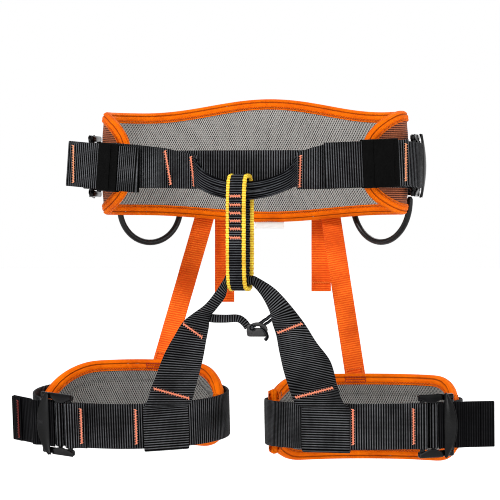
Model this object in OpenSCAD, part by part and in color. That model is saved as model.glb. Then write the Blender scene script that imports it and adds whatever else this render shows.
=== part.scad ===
// Tree climbing saddle: a padded waist belt with a tie-in bridge and a belay loop, two padded leg
// loops on risers, a leg bridge through the belay loop, and two gear loops.
// The origin is the centre of the waist ring. +X is the wearer's left, -Y the front, +Z up.

/* [Webbing] */
// Width of the main webbing
web_w = 45; // [42:1:46]
// Thickness of the main webbing
web_t = 2.2; // [1.8:0.1:2.4]
// Width of the riser webbing
riser_w = 20; // [16:1:22]
// Thickness of the riser webbing
riser_t = 1.8; // [1.4:0.1:2]

/* [Waist] */
// Half width of the waist ring
waist_half_w = 155; // [150:1:160]
// Half depth of the waist ring
waist_half_d = 92; // [88:1:96]
// Thickness of a pad
pad_t = 11; // [9:1:13]
// Height of the waist pad's top edge at the middle of the back
pad_top = 69; // [62:1:74]
// Height of the waist pad's top edge at the hips
pad_side_top = 54; // [50:1:56]
// Depth of the waist pad's bottom edge below the origin
pad_bottom = 55; // [50:1:58]
// Width of the edge binding
binding_w = 10; // [8:1:12]

/* [Legs] */
// Distance of a leg loop's centre from the middle plane
leg_x = 117; // [115:1:120]
// Half width of a leg loop
leg_half_w = 95; // [90:1:96]
// Half depth of a leg loop
leg_half_d = 64; // [60:1:68]
// Height of a leg pad
leg_pad_h = 84; // [76:1:90]

/* [Loops] */
// Height of the belay loop
belay_h = 117; // [115:1:119]
// Width of the belay loop
belay_w = 20; // [18:1:21]
// Diameter of a gear loop's tube
gear_d = 6; // [5:0.5:7]

/* [Hidden] */
$fn = 32;
LEFT = 1;
RIGHT = -1;
waist_c = [0, 4];
waist_h = [waist_half_w, waist_half_d];
skin_t = 1.5;       // a pad's lining and its outer mesh
bind_t = 1;         // binding tape over each face of a pad
gap = 0.5;          // clearance between neighbouring layers
pad_bottom_side = pad_bottom - 7;
tip_y = -49;        // where the waist pad ends at the front
tip_corner_top = [45, 38];      // half axes of its rounded ends, front to back and up
tip_corner_bottom = [45, 32];
ply_gap = 0.1;      // between two plies of one belt
belt_out = bind_t + gap;            // inner face of a belt, out from a pad
far = 400;          // longer than any piece

// Buckles
buckle_a = 0;       // ring angle of a waist buckle
buckle_out = 7.5;   // its middle plane, out from the pad
bar_r = 2.5;        // fixed end bars
bar_x = 17;         // their distance from the buckle's middle
wrap_t = 2.2;       // webbing turned round a bar
rail_h = 7;         // frame rails above and below the webbing
rail_z = web_w / 2 + 2;
frame_len = 46;
plate_x = 4;
plate_w = 13;
plate_r = 38;       // the cover plate is bowed to this radius
plate_t = 2.5;
plate_out = 8.5;    // its outer face, out from the buckle's middle plane
lock_r = 2.2;
lock_x = -4;
tail_out = bar_r + 0.4; // inner face of a tail that passes over a bar

// Points of an ellipse with centre c and half axes h, from angle a0 to a1, moved outwards by t
function arc_points(c, h, a0, a1, t, n = 40) = [
  for (i = [0:n])
    let (a = a0 + (a1 - a0) * i / n, out = [h.y * cos(a), h.x * sin(a)])
    c + [h.x * cos(a), h.y * sin(a)] + t * out / norm(out)];

function reverse(p) = [for (i = [len(p) - 1:-1:0]) p[i]];

// A wall that stands on the XY plane along the ellipse, between the offsets t0 and t1
module arc_wall(c, h, a0, a1, t0, t1, z0, z1, n = 40)
  translate([0, 0, z0]) linear_extrude(z1 - z0)
    polygon(concat(arc_points(c, h, a0, a1, t0, n), reverse(arc_points(c, h, a0, a1, t1, n))));

// An XZ outline drawn through everything along Y
module front_outline() rotate([90, 0, 0]) linear_extrude(far, center = true) children();

// A YZ outline drawn through everything along X
module side_outline() rotate([90, 0, 90]) linear_extrude(far, center = true) children();

// Built for the wearer's left, and mirrored for the right
module on_side(s) if (s == LEFT) children(); else mirror([1, 0, 0]) children();

// Local x runs rearwards along the ellipse, and local -y points outwards
module at_ring(c, h, a, t) {
  p = arc_points(c, h, a, a + 1, t, 1)[0];
  translate([p.x, p.y, 0]) rotate([0, 0, atan2(h.y * cos(a), -h.x * sin(a))]) children();
}

// Outline of a strip of thickness t along the plan points p
function unit(v) = v / norm(v);
function mitre(p, i) =
  let (a = unit(i > 0 ? p[i] - p[i - 1] : p[1] - p[0]), b = i < len(p) - 1 ? unit(p[i + 1] - p[i]) : a,
       m = [-a.y - b.y, a.x + b.x])
  m / (1 + a * b);
function ribbon_points(p, t) = concat(
  [for (i = [0:len(p) - 1]) p[i] + t / 2 * mitre(p, i)],
  reverse([for (i = [0:len(p) - 1]) p[i] - t / 2 * mitre(p, i)]));

// A ribbon of webbing standing on edge along p, tilted up about its first point by lift degrees
module ribbon(p, w, t, z, lift = 0) {
  d = p[1] - p[0];
  turn = atan2(d.y, d.x);
  translate([p[0].x, p[0].y, z]) rotate([0, 0, turn]) rotate([0, -lift, 0]) rotate([0, 0, -turn])
    translate([-p[0].x, -p[0].y, -w / 2]) linear_extrude(w) polygon(ribbon_points(p, t));
}

// ---------------------------------------------------------------- waist pad

function hump(x) = pow(cos(90 * min(1, abs(x) / 125)), 2);
function waist_top(x) = pad_side_top + (pad_top - pad_side_top) * hump(x);
function waist_bottom(x) = -pad_bottom_side - (pad_bottom - pad_bottom_side) * hump(x);

// The waist pad between the offsets t0 and t1, drawn in by e along its edge
pad_a = -50;        // ring angle past the pad's front end
pad_reach = 80;     // higher than its top edge
module waist_pad(e, t0, t1) {
  xs = [-170:10:170];
  top = tip_corner_top;
  bottom = tip_corner_bottom;
  intersection() {
    arc_wall(waist_c, waist_h, pad_a, 180 - pad_a, t0, t1, -pad_reach, pad_reach, 48);
    front_outline() polygon(concat(
      [for (x = xs) [x, waist_top(x) - e]],
      reverse([for (x = xs) [x, waist_bottom(x) + e]])));
    side_outline() polygon(concat(
      [[far, pad_reach], [tip_y + top.x, pad_reach]],
      arc_points([tip_y + top.x, pad_side_top - top.y], top, 90, 180, -e, 16),
      arc_points([tip_y + bottom.x, bottom.y - pad_bottom_side], bottom, 180, 270, -e, 16),
      [[tip_y + bottom.x, -pad_reach], [far, -pad_reach]]));
  }
}

module waist_pad_lining() color("gray") waist_pad(skin_t, -pad_t, -pad_t + skin_t);
module waist_pad_foam() color("dimgray") waist_pad(skin_t, -pad_t + skin_t, -skin_t);
module waist_pad_outer() color("sienna") waist_pad(skin_t, -skin_t, 0);
module waist_pad_binding() color("darkorange") difference() {
  waist_pad(0, -pad_t - bind_t, bind_t);
  waist_pad(skin_t, -pad_t, 0);
  waist_pad(binding_w, -pad_t - 2 * bind_t, 2 * bind_t);
}

// A blank label sewn under the bottom edge at the middle of the back
module care_label() color("white")
  translate([0, waist_c.y + waist_h.y - pad_t / 2, -pad_bottom - 3.5])
    cube([30, 0.8, 7], center = true);

// ---------------------------------------------------------------- waist webbing

// The belt behind the pad, from the middle of one buckle to the middle of the other
hip_a = -2;         // ring angle where the back belt ends, under the buckle's locking bar
module waist_back_belt() color("#26282a")
  arc_wall(waist_c, waist_h, hip_a, 180 - hip_a, belt_out, belt_out + web_t,
           -web_w / 2, web_w / 2, 48);

// The band behind the tie-in bridge, from fold to fold
band_w = 36;        // the band and the bridge are narrower than the belt
band_a = -60;       // ring angle of the band's end on the left
band_top = 14;
module front_band() color("#26282a")
  arc_wall(waist_c, waist_h, 180 - band_a, 360 + band_a, belt_out, belt_out + web_t,
           band_top - band_w, band_top);

// The tie-in bridge sags between two sewn ends in front of the band
tie_left = 56;      // x of the sewn end on the wearer's left
tie_right = -41;    // x of the sewn end on the wearer's right
bridge_t = 6;       // rolled webbing
bridge_sag = 15;
bridge_out = 17;    // how far the middle stands out from the sewn ends
tie_y = -91.5;      // sewn ends
tie_mid = (tie_left + tie_right) / 2;
tie_half = (tie_left - tie_right) / 2;
bridge_y = tie_y - bridge_out;
function sag(x) = 1 - pow(abs(x - tie_mid) / tie_half, 2.2);
module tie_in_bridge() color("#1b1c1e") {
  xs = [for (i = [-12:12]) tie_mid + tie_half * i / 12];
  intersection() {
    translate([0, 0, -80]) linear_extrude(160) polygon(concat(
      [for (x = xs) [x, tie_y - bridge_out * sag(x) + bridge_t / 2]],
      reverse([for (x = xs) [x, tie_y - bridge_out * sag(x) - bridge_t / 2]])));
    front_outline() polygon(concat(
      [for (x = xs) [x, -2 - bridge_sag * sag(x)]],
      reverse([for (x = xs) [x, -22 - bridge_sag * sag(x) + 2 * sag(x)]])));
  }
}

// Sewn belt from the tie-in to the buckle, on the pad's outside; a0 is its inner end
module front_belt(s, a0) color("#2b2d30") on_side(s) {
  arc_wall(waist_c, waist_h, a0, buckle_a - 10, belt_out + web_t + ply_gap,
           belt_out + 2 * web_t + ply_gap, -web_w / 2, web_w / 2);
  at_ring(waist_c, waist_h, buckle_a, buckle_out) wrap(-bar_x);
}
tie_a_left = -68;   // ring angles of the sewn ends
tie_a_right = -74;
module front_belt_left() front_belt(LEFT, tie_a_left);
module front_belt_right() front_belt(RIGHT, tie_a_right);

// Folded tail outside the belt: from the fold at p0 to the hemmed end at p1
tail_gap = 1.6;
tail_inner_left = 75;   // length of the tail's inner layer
tail_inner_right = 62;
tail_over = [waist_half_w + buckle_out + bar_r + wrap_t + 2, -22];  // where it passes over the front bar
tail_hem_z = 2.5;   // height of the hemmed end's middle
module waist_tail(s, p0, p1, lift, inner) color("#303236") on_side(s) {
  d = unit(p1 - p0);
  back = (web_t + tail_gap) * [-d.y, d.x];
  turn = p0 + back + inner * d;
  ribbon([p1, p0, p0 + back, turn], web_w, web_t, tail_hem_z, -lift);
  ribbon([turn + 3 * d, tail_over, tail_over + [0, 22]], web_w, web_t, 0);
}
fold_left = [86, -86];
hem_left = [164, -50];
fold_right = [104, -78];
hem_right = [181, -43];
module waist_tail_left() waist_tail(LEFT, fold_left, hem_left, 2.5, tail_inner_left);
module waist_tail_right() waist_tail(RIGHT, fold_right, hem_right, 5, tail_inner_right);

// Elastic keeper round both layers of the tail, from k0 to k1 along it from its hemmed end
keeper_t = 1.2;
module keeper_box(p, d, k0, k1, depth, height, lift)
  translate([p.x, p.y, tail_hem_z]) rotate([0, 0, atan2(-d.y, -d.x)]) rotate([0, lift, 0])
    translate([k0, -depth / 2, -height / 2]) cube([k1 - k0, depth, height]);
module waist_keeper(s, p0, p1, lift, k0, k1) color("#141414") on_side(s) {
  d = unit(p1 - p0);
  middle = p1 + (web_t + tail_gap) / 2 * [-d.y, d.x];
  inside = [2 * web_t + tail_gap + 2 * gap, web_w + 2 * gap];
  difference() {
    keeper_box(middle, d, k0, k1, inside.x + 2 * keeper_t, inside.y + 2 * keeper_t, lift);
    keeper_box(middle, d, k0 - 1, k1 + 1, inside.x, inside.y, lift);
  }
}
module waist_keeper_left() waist_keeper(LEFT, fold_left, hem_left, 2.5, 11, 48);
module waist_keeper_right() waist_keeper(RIGHT, fold_right, hem_right, 5, 38, 60);

// ---------------------------------------------------------------- buckles

// Webbing turned round an end bar at local x
module wrap(x) translate([x, 0, -web_w / 2]) difference() {
  cylinder(h = web_w, r = bar_r + gap / 2 + wrap_t);
  translate([0, 0, -1]) cylinder(h = web_w + 2, r = bar_r + gap / 2);
}

// A pressed frame: two rails, a fixed bar at each end and a bowed cover plate
module buckle_frame() {
  for (z = [-1, 1])
    translate([0, 0, z * (rail_z + rail_h / 2)]) cube([frame_len, 5, rail_h], center = true);
  for (x = [-bar_x, bar_x])
    translate([x, 0, -rail_z - 1]) cylinder(h = 2 * rail_z + 2, r = bar_r);
  intersection() {
    translate([plate_x + plate_w / 2, plate_r - plate_out, 0]) difference() {
      cylinder(h = 2 * (rail_z + rail_h), r = plate_r, center = true, $fn = 96);
      cylinder(h = 4 * rail_z, r = plate_r - plate_t, center = true, $fn = 96);
    }
    translate([plate_x, -20, -rail_z - rail_h]) cube([plate_w, 20, 2 * (rail_z + rail_h)]);
  }
  for (z = [-1, 1])
    translate([plate_x + plate_w / 2, -4, z * (rail_z + rail_h / 2)])
      cube([plate_w, 5, rail_h], center = true);
}

// The locking bar that the webbing pinches, between the rails
module buckle_bar() translate([lock_x, 0, -rail_z + gap]) cylinder(h = 2 * (rail_z - gap), r = lock_r);

module at_waist_buckle(s) on_side(s) at_ring(waist_c, waist_h, buckle_a, buckle_out) children();
module waist_buckle_frame_left() color("#1a1a1a") at_waist_buckle(LEFT) buckle_frame();
module waist_buckle_frame_right() color("#1a1a1a") at_waist_buckle(RIGHT) buckle_frame();
module waist_buckle_bar_left() color("#505050") at_waist_buckle(LEFT) buckle_bar();
module waist_buckle_bar_right() color("#505050") at_waist_buckle(RIGHT) buckle_bar();

// ---------------------------------------------------------------- gear loops

gear_left = [[152, 38], [86, 90]];      // plan points of a gear loop's ends, behind the pad
gear_right = [[146, 46], [92, 88]];
gear_z_left = -34;      // height of the loop's centre
gear_z_right = -42;
gear_top = -33;         // where its ends are pinned
module gear_loop(s, ends, z) color("#111111") on_side(s) {
  d = ends[1] - ends[0];
  m = (ends[0] + ends[1]) / 2;
  r = norm(d) / 2;
  translate([m.x, m.y, z]) rotate([0, 0, atan2(d.y, d.x)]) {
    rotate([90, 0, 0]) rotate([0, 0, 180]) rotate_extrude(angle = 180, $fn = 64)
      translate([r, 0]) circle(d = gear_d);
    for (x = [-r, r]) {
      translate([x, 0, 0]) cylinder(h = gear_top - z, d = gear_d);
      translate([x, 0, gear_top - z]) sphere(d = gear_d);
    }
  }
}
// Sewn tabs that hold the loop's two ends to the pad
tab = [3, 12, 16];
module gear_tabs(s, ends) color("#222222") on_side(s)
  for (p = ends)
    translate([p.x, p.y, gear_top + (gear_d + tab.z) / 2 + gap]) rotate([0, 0, atan2(p.y, p.x / 3)])
      cube(tab, center = true);
module gear_tabs_left() gear_tabs(LEFT, gear_left);
module gear_tabs_right() gear_tabs(RIGHT, gear_right);
module gear_loop_left() gear_loop(LEFT, gear_left, gear_z_left);
module gear_loop_right() gear_loop(RIGHT, gear_right, gear_z_right);

// ---------------------------------------------------------------- belay loop

belay_x = 5;
belay_y = bridge_y;
belay_top = -7;
belay_t = 4;            // two plies
belay_depth = 30;       // front to back, outside
belay_twist = -8;       // how far it hangs turned about the vertical
belay_square = 4;       // 2 is an ellipse, and more is squarer
function power(v, p) = sign(v) * pow(abs(v), p);

// A squared ellipse with half axes h, moved outwards by t
function loop_points(h, t, n = 64) = [
  for (i = [0:n - 1])
    let (a = 360 * i / n, c = power(cos(a), 2 / belay_square), d = power(sin(a), 2 / belay_square),
         out = [power(c, belay_square - 1) / h.x, power(d, belay_square - 1) / h.y])
    [h.x * c, h.y * d] + t * out / norm(out)];

module belay_loop() color("#26282a") translate([belay_x, belay_y, belay_top - belay_h / 2])
  rotate([0, 0, belay_twist]) rotate([0, 90, 0]) linear_extrude(belay_w, center = true) {
    inner = [belay_h / 2 - belay_t, belay_depth / 2 - belay_t];
    difference() {
      polygon(loop_points(inner, belay_t));
      polygon(loop_points(inner, 0));
    }
  }

// ---------------------------------------------------------------- leg loops

leg_z_left = -253;
leg_z_right = -246;
leg_pitch_left = 3;     // how far the back of a leg loop is raised
leg_pitch_right = 10;
leg_y = -40;
leg_c = [0, 0];
leg_h = [leg_half_w, leg_half_d];
// Half axes of a leg pad's outer and inner corners, across and up
leg_corner_left = [[24, 24], [20, 20]];
leg_corner_right = [[52, 36], [30, 34]];
leg_buckle_a_left = -38;
leg_buckle_a_right = -50;
function leg_buckle_a(s) = s == LEFT ? leg_buckle_a_left : leg_buckle_a_right;
leg_buckle_out = 6.5;
leg_pad_front = -12;    // where a leg pad's ends stand, in front of the ring's centre

module at_leg(s) on_side(s)
  translate([leg_x, leg_y, s == LEFT ? leg_z_left : leg_z_right])
    rotate([s == LEFT ? leg_pitch_left : leg_pitch_right, 0, 0]) children();

module leg_pad(s, e, t0, t1) {
  outer = s == LEFT ? leg_corner_left[0] : leg_corner_right[0];
  inner = s == LEFT ? leg_corner_left[1] : leg_corner_right[1];
  edge = [leg_half_w + 1, leg_pad_h / 2];
  intersection() {
    arc_wall(leg_c, leg_h, -14, 194, t0, t1, -leg_pad_h / 2, leg_pad_h / 2);
    front_outline() polygon(concat(
      arc_points(edge - outer, outer, 0, 90, -e, 12),
      arc_points([inner.x - edge.x, edge.y - inner.y], inner, 90, 180, -e, 12),
      arc_points(inner - edge, inner, 180, 270, -e, 12),
      arc_points([edge.x - outer.x, outer.y - edge.y], outer, 270, 360, -e, 12)));
    side_outline() translate([leg_pad_front + e, -far / 2]) square([far, far]);
  }
}
module leg_pad_lining(s) color("gray") at_leg(s) leg_pad(s, skin_t, -pad_t, -pad_t + skin_t);
module leg_pad_foam(s) color("dimgray") at_leg(s) leg_pad(s, skin_t, -pad_t + skin_t, -skin_t);
module leg_pad_outer(s) color("sienna") at_leg(s) leg_pad(s, skin_t, -skin_t, 0);
module leg_pad_binding(s) color("darkorange") at_leg(s) difference() {
  leg_pad(s, 0, -pad_t - bind_t, bind_t);
  leg_pad(s, skin_t, -pad_t, 0);
  leg_pad(s, binding_w, -pad_t - 2 * bind_t, 2 * bind_t);
}

// The belt round the leg, from one end of its buckle round the back and inside to the other
module leg_belt(s) color("#2b2d30") at_leg(s) {
  a = leg_buckle_a(s);
  arc_wall(leg_c, leg_h, a - 3, 348 + a, belt_out, belt_out + web_t, -web_w / 2, web_w / 2, 60);
  at_ring(leg_c, leg_h, a, leg_buckle_out) wrap(-bar_x);
}

// The tail leaves the locking bar over the rear bar, and turns to its hemmed end
leg_tail_len = 35;
leg_tail_turn_left = -22;
leg_tail_turn_right = 10;
module leg_tail(s, turn) color("#303236") at_leg_buckle(s) {
  y = -tail_out - web_t / 2;
  bend = [frame_len / 2, y];
  ribbon([[0, y], bend, bend + leg_tail_len * [cos(turn), sin(turn)]], web_w, web_t, 0);
}

module at_leg_buckle(s) at_leg(s) at_ring(leg_c, leg_h, leg_buckle_a(s), leg_buckle_out) children();
module leg_buckle_frame(s) color("#1a1a1a") at_leg_buckle(s) buckle_frame();
module leg_buckle_bar(s) color("#505050") at_leg_buckle(s) buckle_bar();

module leg_pad_lining_left() leg_pad_lining(LEFT);
module leg_pad_lining_right() leg_pad_lining(RIGHT);
module leg_pad_foam_left() leg_pad_foam(LEFT);
module leg_pad_foam_right() leg_pad_foam(RIGHT);
module leg_pad_outer_left() leg_pad_outer(LEFT);
module leg_pad_outer_right() leg_pad_outer(RIGHT);
module leg_pad_binding_left() leg_pad_binding(LEFT);
module leg_pad_binding_right() leg_pad_binding(RIGHT);
module leg_belt_left() leg_belt(LEFT);
module leg_belt_right() leg_belt(RIGHT);
module leg_tail_left() leg_tail(LEFT, leg_tail_turn_left);
module leg_tail_right() leg_tail(RIGHT, leg_tail_turn_right);
module leg_buckle_frame_left() leg_buckle_frame(LEFT);
module leg_buckle_frame_right() leg_buckle_frame(RIGHT);
module leg_buckle_bar_left() leg_buckle_bar(LEFT);
module leg_buckle_bar_right() leg_buckle_bar(RIGHT);

// ---------------------------------------------------------------- risers

lock_y = waist_c.y + waist_h.y + 6; // ladder locks stand behind the waist pad
lock_z = -36;
lock_x_left = 54;
lock_x_right = 58;
lock_t = 4;
riser_foot_x = 99;
tail_x_left = 51;
tail_x_right = 49;

module riser_lock(s, x) color("#141414") on_side(s)
  translate([x, lock_y, lock_z]) rotate([90, 0, 0])
    linear_extrude(lock_t, center = true) difference() {
      square([42, 26], center = true);
      for (y = [-8, 0, 8]) translate([0, y]) square([35, 4], center = true);
    }
module riser_lock_left() riser_lock(LEFT, lock_x_left);
module riser_lock_right() riser_lock(RIGHT, lock_x_right);

// The short webbing that holds a ladder lock to the belt
module riser_anchor(s, x) color("#222426") on_side(s)
  translate([x - riser_w / 2, lock_y - lock_t / 2 - gap - riser_t, lock_z + 6])
    cube([riser_w, riser_t, 30]);
module riser_anchor_left() riser_anchor(LEFT, lock_x_left);
module riser_anchor_right() riser_anchor(RIGHT, lock_x_right);

// A flat strip hanging from top to foot, its width along X
module hanging_strip(top, foot, w, t) {
  d = foot - top;
  translate(top) rotate([0, -atan2(d.x, -d.z), 0])
    rotate([atan2(d.y, norm([d.x, 0, d.z])), 0, 0])
      translate([-w / 2, -t / 2, -norm(d)]) cube([w, t, norm(d)]);
}
riser_front = lock_y - lock_t / 2 - gap - riser_t / 2;
riser_foot_y = leg_y + leg_half_d + 3;
module riser(s, top_x, foot_z) color("orangered") on_side(s)
  hanging_strip([top_x, riser_front, lock_z - 2], [riser_foot_x, riser_foot_y, foot_z], riser_w, riser_t);
module riser_left() riser(LEFT, 60, -214);
module riser_right() riser(RIGHT, 65, -199);

// The free end of a riser hangs behind its ladder lock
module riser_tail(s, x, l) color("orangered") on_side(s)
  translate([x - riser_w / 2, lock_y + lock_t / 2 + gap, lock_z - l]) cube([riser_w, riser_t, l]);
module riser_tail_left() riser_tail(LEFT, tail_x_left, 90);
module riser_tail_right() riser_tail(RIGHT, tail_x_right, 101);

// ---------------------------------------------------------------- leg bridge

roll_r = 5;             // the bridge webbing rolled up inside the belay loop
roll_x = 14;
roll_z = belay_top - belay_h + belay_t + roll_r + 1.2;
module leg_bridge_centre() color("#222426")
  translate([belay_x, belay_y, roll_z]) rotate([0, 0, belay_twist]) rotate([0, 90, 0])
    cylinder(h = 2 * roll_x, r = roll_r, center = true);

// Each half spreads out flat from the roll down to a sleeve that is sewn round the leg belt,
// between the ring angles a0 and a1; outer and inner are its edges as [x, z] points
plate_y = leg_y - leg_half_d - belt_out - web_t - gap;
module leg_bridge(s, outer, inner, a0, a1) color("#2b2d30") {
  on_side(s) translate([0, plate_y, 0]) rotate([90, 0, 0]) linear_extrude(web_t)
    polygon(concat(outer, reverse(inner)));
  at_leg(s) difference() {
    arc_wall(leg_c, leg_h, a0, a1, belt_out - gap - web_t, belt_out + web_t + gap + web_t,
             -web_w / 2 - gap - web_t, web_w / 2 + gap + web_t, 10);
    arc_wall(leg_c, leg_h, a0 - 1, a1 + 1, belt_out - gap, belt_out + web_t + gap,
             -web_w / 2 - gap, web_w / 2 + gap, 10);
  }
}
module leg_bridge_left() leg_bridge(LEFT,
  [[20, -109], [33, -120], [49, -134], [67, -154], [98, -215], [105, -234]],
  [[20, -119], [27, -134], [34, -154], [46, -200], [59, -234]], 238, 268);
module leg_bridge_right() leg_bridge(RIGHT,
  [[10, -110], [26, -126], [52, -152], [68, -182], [81, -212], [89, -234]],
  [[10, -120], [16, -138], [26, -164], [38, -210], [44, -234]], 227, 255);

// ---------------------------------------------------------------- spreader

spread_y = belay_y;
spread_strap = [35, 1.6, 9];
spread_strap_at = [-26, spread_y - spread_strap.y / 2, -155];
spread_lock = [22, 16];
spread_lock_t = 5;
spread_lock_at = [22, spread_y, -163];
spread_cord_d = 3;
spread_cord_len = 12;
spread_cord_turn = 60;
spread_cord_at = [27, spread_y, -152.8];
module spreader_strap() color("#1b1c1e") translate(spread_strap_at) cube(spread_strap);
module spreader_lock() color("#141414") translate(spread_lock_at)
  rotate([90, 0, 0]) linear_extrude(spread_lock_t, center = true) difference() {
    square(spread_lock, center = true);
    for (x = [-5, 5]) translate([x, 0]) square([4, 10], center = true);
  }
module spreader_cord() color("#1b1c1e") translate(spread_cord_at)
  rotate([0, spread_cord_turn, 0]) cylinder(h = spread_cord_len, d = spread_cord_d);

waist_pad_lining();
waist_pad_foam();
waist_pad_outer();
waist_pad_binding();
care_label();
waist_back_belt();
front_band();
tie_in_bridge();
front_belt_left();
front_belt_right();
waist_tail_left();
waist_tail_right();
waist_keeper_left();
waist_keeper_right();
waist_buckle_frame_left();
waist_buckle_frame_right();
waist_buckle_bar_left();
waist_buckle_bar_right();
gear_tabs_left();
gear_tabs_right();
gear_loop_left();
gear_loop_right();
belay_loop();
riser_lock_left();
riser_lock_right();
riser_anchor_left();
riser_anchor_right();
riser_left();
riser_right();
riser_tail_left();
riser_tail_right();
leg_bridge_centre();
leg_bridge_left();
leg_bridge_right();
spreader_strap();
spreader_lock();
spreader_cord();
leg_pad_lining_left();
leg_pad_foam_left();
leg_pad_outer_left();
leg_pad_binding_left();
leg_belt_left();
leg_tail_left();
leg_buckle_frame_left();
leg_buckle_bar_left();
leg_pad_lining_right();
leg_pad_foam_right();
leg_pad_outer_right();
leg_pad_binding_right();
leg_belt_right();
leg_tail_right();
leg_buckle_frame_right();
leg_buckle_bar_right();
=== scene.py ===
"""Tree climbing saddle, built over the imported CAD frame. Lengths are in millimetres until a mesh is made."""

import math
from bisect import bisect
from functools import partial

import bmesh
import bpy
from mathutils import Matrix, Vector, noise


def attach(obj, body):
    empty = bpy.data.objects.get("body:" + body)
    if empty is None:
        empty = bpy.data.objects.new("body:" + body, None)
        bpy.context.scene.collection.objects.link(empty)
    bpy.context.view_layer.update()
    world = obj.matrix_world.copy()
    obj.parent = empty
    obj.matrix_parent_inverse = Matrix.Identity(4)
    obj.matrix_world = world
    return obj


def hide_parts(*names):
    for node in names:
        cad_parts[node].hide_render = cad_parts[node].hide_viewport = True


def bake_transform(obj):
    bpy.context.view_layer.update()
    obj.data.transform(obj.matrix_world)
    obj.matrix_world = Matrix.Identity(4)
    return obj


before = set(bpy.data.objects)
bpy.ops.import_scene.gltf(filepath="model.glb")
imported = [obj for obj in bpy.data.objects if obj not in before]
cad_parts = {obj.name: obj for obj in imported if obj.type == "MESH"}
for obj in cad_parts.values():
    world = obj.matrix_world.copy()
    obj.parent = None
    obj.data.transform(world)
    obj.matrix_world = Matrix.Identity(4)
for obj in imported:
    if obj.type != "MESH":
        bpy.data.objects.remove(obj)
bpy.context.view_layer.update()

MM = 0.001
LEFT, RIGHT = 1, -1
SIDES = {"left": LEFT, "right": RIGHT}

# ---------------------------------------------------------------- sizes shared with the CAD model

WAIST_C, WAIST_H = Vector((0, 4)), Vector((155, 92))
LEG_H = Vector((95, 64))
LEG_X, LEG_Y = 117, -40
LEG_Z = {LEFT: -253, RIGHT: -246}
LEG_PITCH = {LEFT: 3, RIGHT: 10}
LEG_O = Vector((0, 0))
LEG_PAD_H = 84
LEG_CORNERS = {LEFT: ((24, 24), (20, 20)), RIGHT: ((52, 36), (30, 34))}
PAD_T = 11
WEB_W, WEB_T = 45, 2.2
WEB_HALF = 22.5
RISER_W, RISER_T = 20, 1.8
BELT_OUT = 1.5
BINDING_W = 10
CHANNEL_IN = 19  # from a leg pad's edge to its stitched channel
TIP_Y, TIP_DEPTH = -49, 45  # front end of the waist pad, and how far back its corners reach
BUCKLE_A, BUCKLE_OUT = 0, 7.5
LEG_BUCKLE_A, LEG_BUCKLE_OUT = {LEFT: -38, RIGHT: -50}, 6.5
BAR_R, BAR_X, LOCK_X, RAIL_Z = 2.5, 17, -4, 24.5
FRONT_Y = -108.5  # plane of the belay loop, the rolled bridge and the spreader
UP, FRONT = Vector((0, 0, 1)), Vector((0, -1, 0))


def ring_out(h, a):
    """Outward direction of a ring at angle a."""
    a = math.radians(a)
    return Vector((h.y * math.cos(a), h.x * math.sin(a))).normalized()


def ring(c, h, a, t):
    """Plan point of a ring at angle a in degrees, moved outwards by t."""
    r = math.radians(a)
    return c + Vector((h.x * math.cos(r), h.y * math.sin(r))) + t * ring_out(h, a)


def waist(s, a, t, z):
    """Point on the waist ring; the wearer's right is the mirror of the left."""
    p = ring(WAIST_C, WAIST_H, a, t)
    return Vector((s * p.x, p.y, z))


def from_leg(s, p):
    """A point of a leg loop's own space in the frame's space."""
    pitch = math.radians(LEG_PITCH[s])
    c, d = math.cos(pitch), math.sin(pitch)
    return Vector((s * (LEG_X + p[0]), LEG_Y + c * p[1] - d * p[2], LEG_Z[s] + d * p[1] + c * p[2]))


def to_leg(s, p):
    """The inverse of from_leg."""
    pitch = math.radians(LEG_PITCH[s])
    c, d = math.cos(pitch), math.sin(pitch)
    y, z = p[1] - LEG_Y, p[2] - LEG_Z[s]
    return Vector((s * p[0] - LEG_X, c * y + d * z, c * z - d * y))


def leg(s, a, t, z):
    """Point on a leg ring, z along the ring's own axis."""
    p = ring(LEG_O, LEG_H, a, t)
    return from_leg(s, (p.x, p.y, z))


def buckle_space(s, where):
    """Function from a buckle's own space: x rearwards along the belt, -y outwards, z up."""
    c, h, a, out = (
        (WAIST_C, WAIST_H, BUCKLE_A, BUCKLE_OUT)
        if where == "waist"
        else (LEG_O, LEG_H, LEG_BUCKLE_A[s], LEG_BUCKLE_OUT)
    )
    o, n = ring(c, h, a, out), ring_out(h, a)
    along = Vector((-n.y, n.x))

    def place(p):
        q = o + p[0] * along - p[1] * n
        return Vector((s * q.x, q.y, p[2])) if where == "waist" else from_leg(s, (q.x, q.y, p[2]))

    return place


# ---------------------------------------------------------------- curves


def cubic(t, a, b, c, d):
    """Point at t between b and c on the smooth curve through four points."""
    return 0.5 * (2 * b + (c - a) * t + (2 * a - 5 * b + 4 * c - d) * t**2 + (3 * b - a - 3 * c + d) * t**3)


def spline(rows, step):
    """Smooth curve through rows of points, sampled about every step."""
    out, n = [], len(rows)
    for i in range(n - 1):
        p = [rows[max(i - 1, 0)], rows[i], rows[i + 1], rows[min(i + 2, n - 1)]]
        m = max(1, round(max((c - b).length for b, c in zip(p[1], p[2])) / step))
        out += [[cubic(j / m, *four) for four in zip(*p)] for j in range(m)]
    return out + [list(rows[-1])]


def curve(points, step):
    """Smooth curve through single points."""
    return [row[0] for row in spline([[p] for p in points], step)]


def closed_pairs(points):
    """Each point of a closed path with the next one."""
    return list(zip(points, points[1:] + points[:1]))


def lengths(points):
    """Length along the path at each of its points."""
    gone = [0.0]
    for p, q in zip(points, points[1:]):
        gone.append(gone[-1] + (q - p).length)
    return gone


def interpolate(xs, ys, x):
    """Value at x of the line through the points, carried on past its ends."""
    i = min(max(bisect(xs, x), 1), len(xs) - 1)
    return ys[i - 1] + (ys[i] - ys[i - 1]) * ((x - xs[i - 1]) / (xs[i] - xs[i - 1]))


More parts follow.
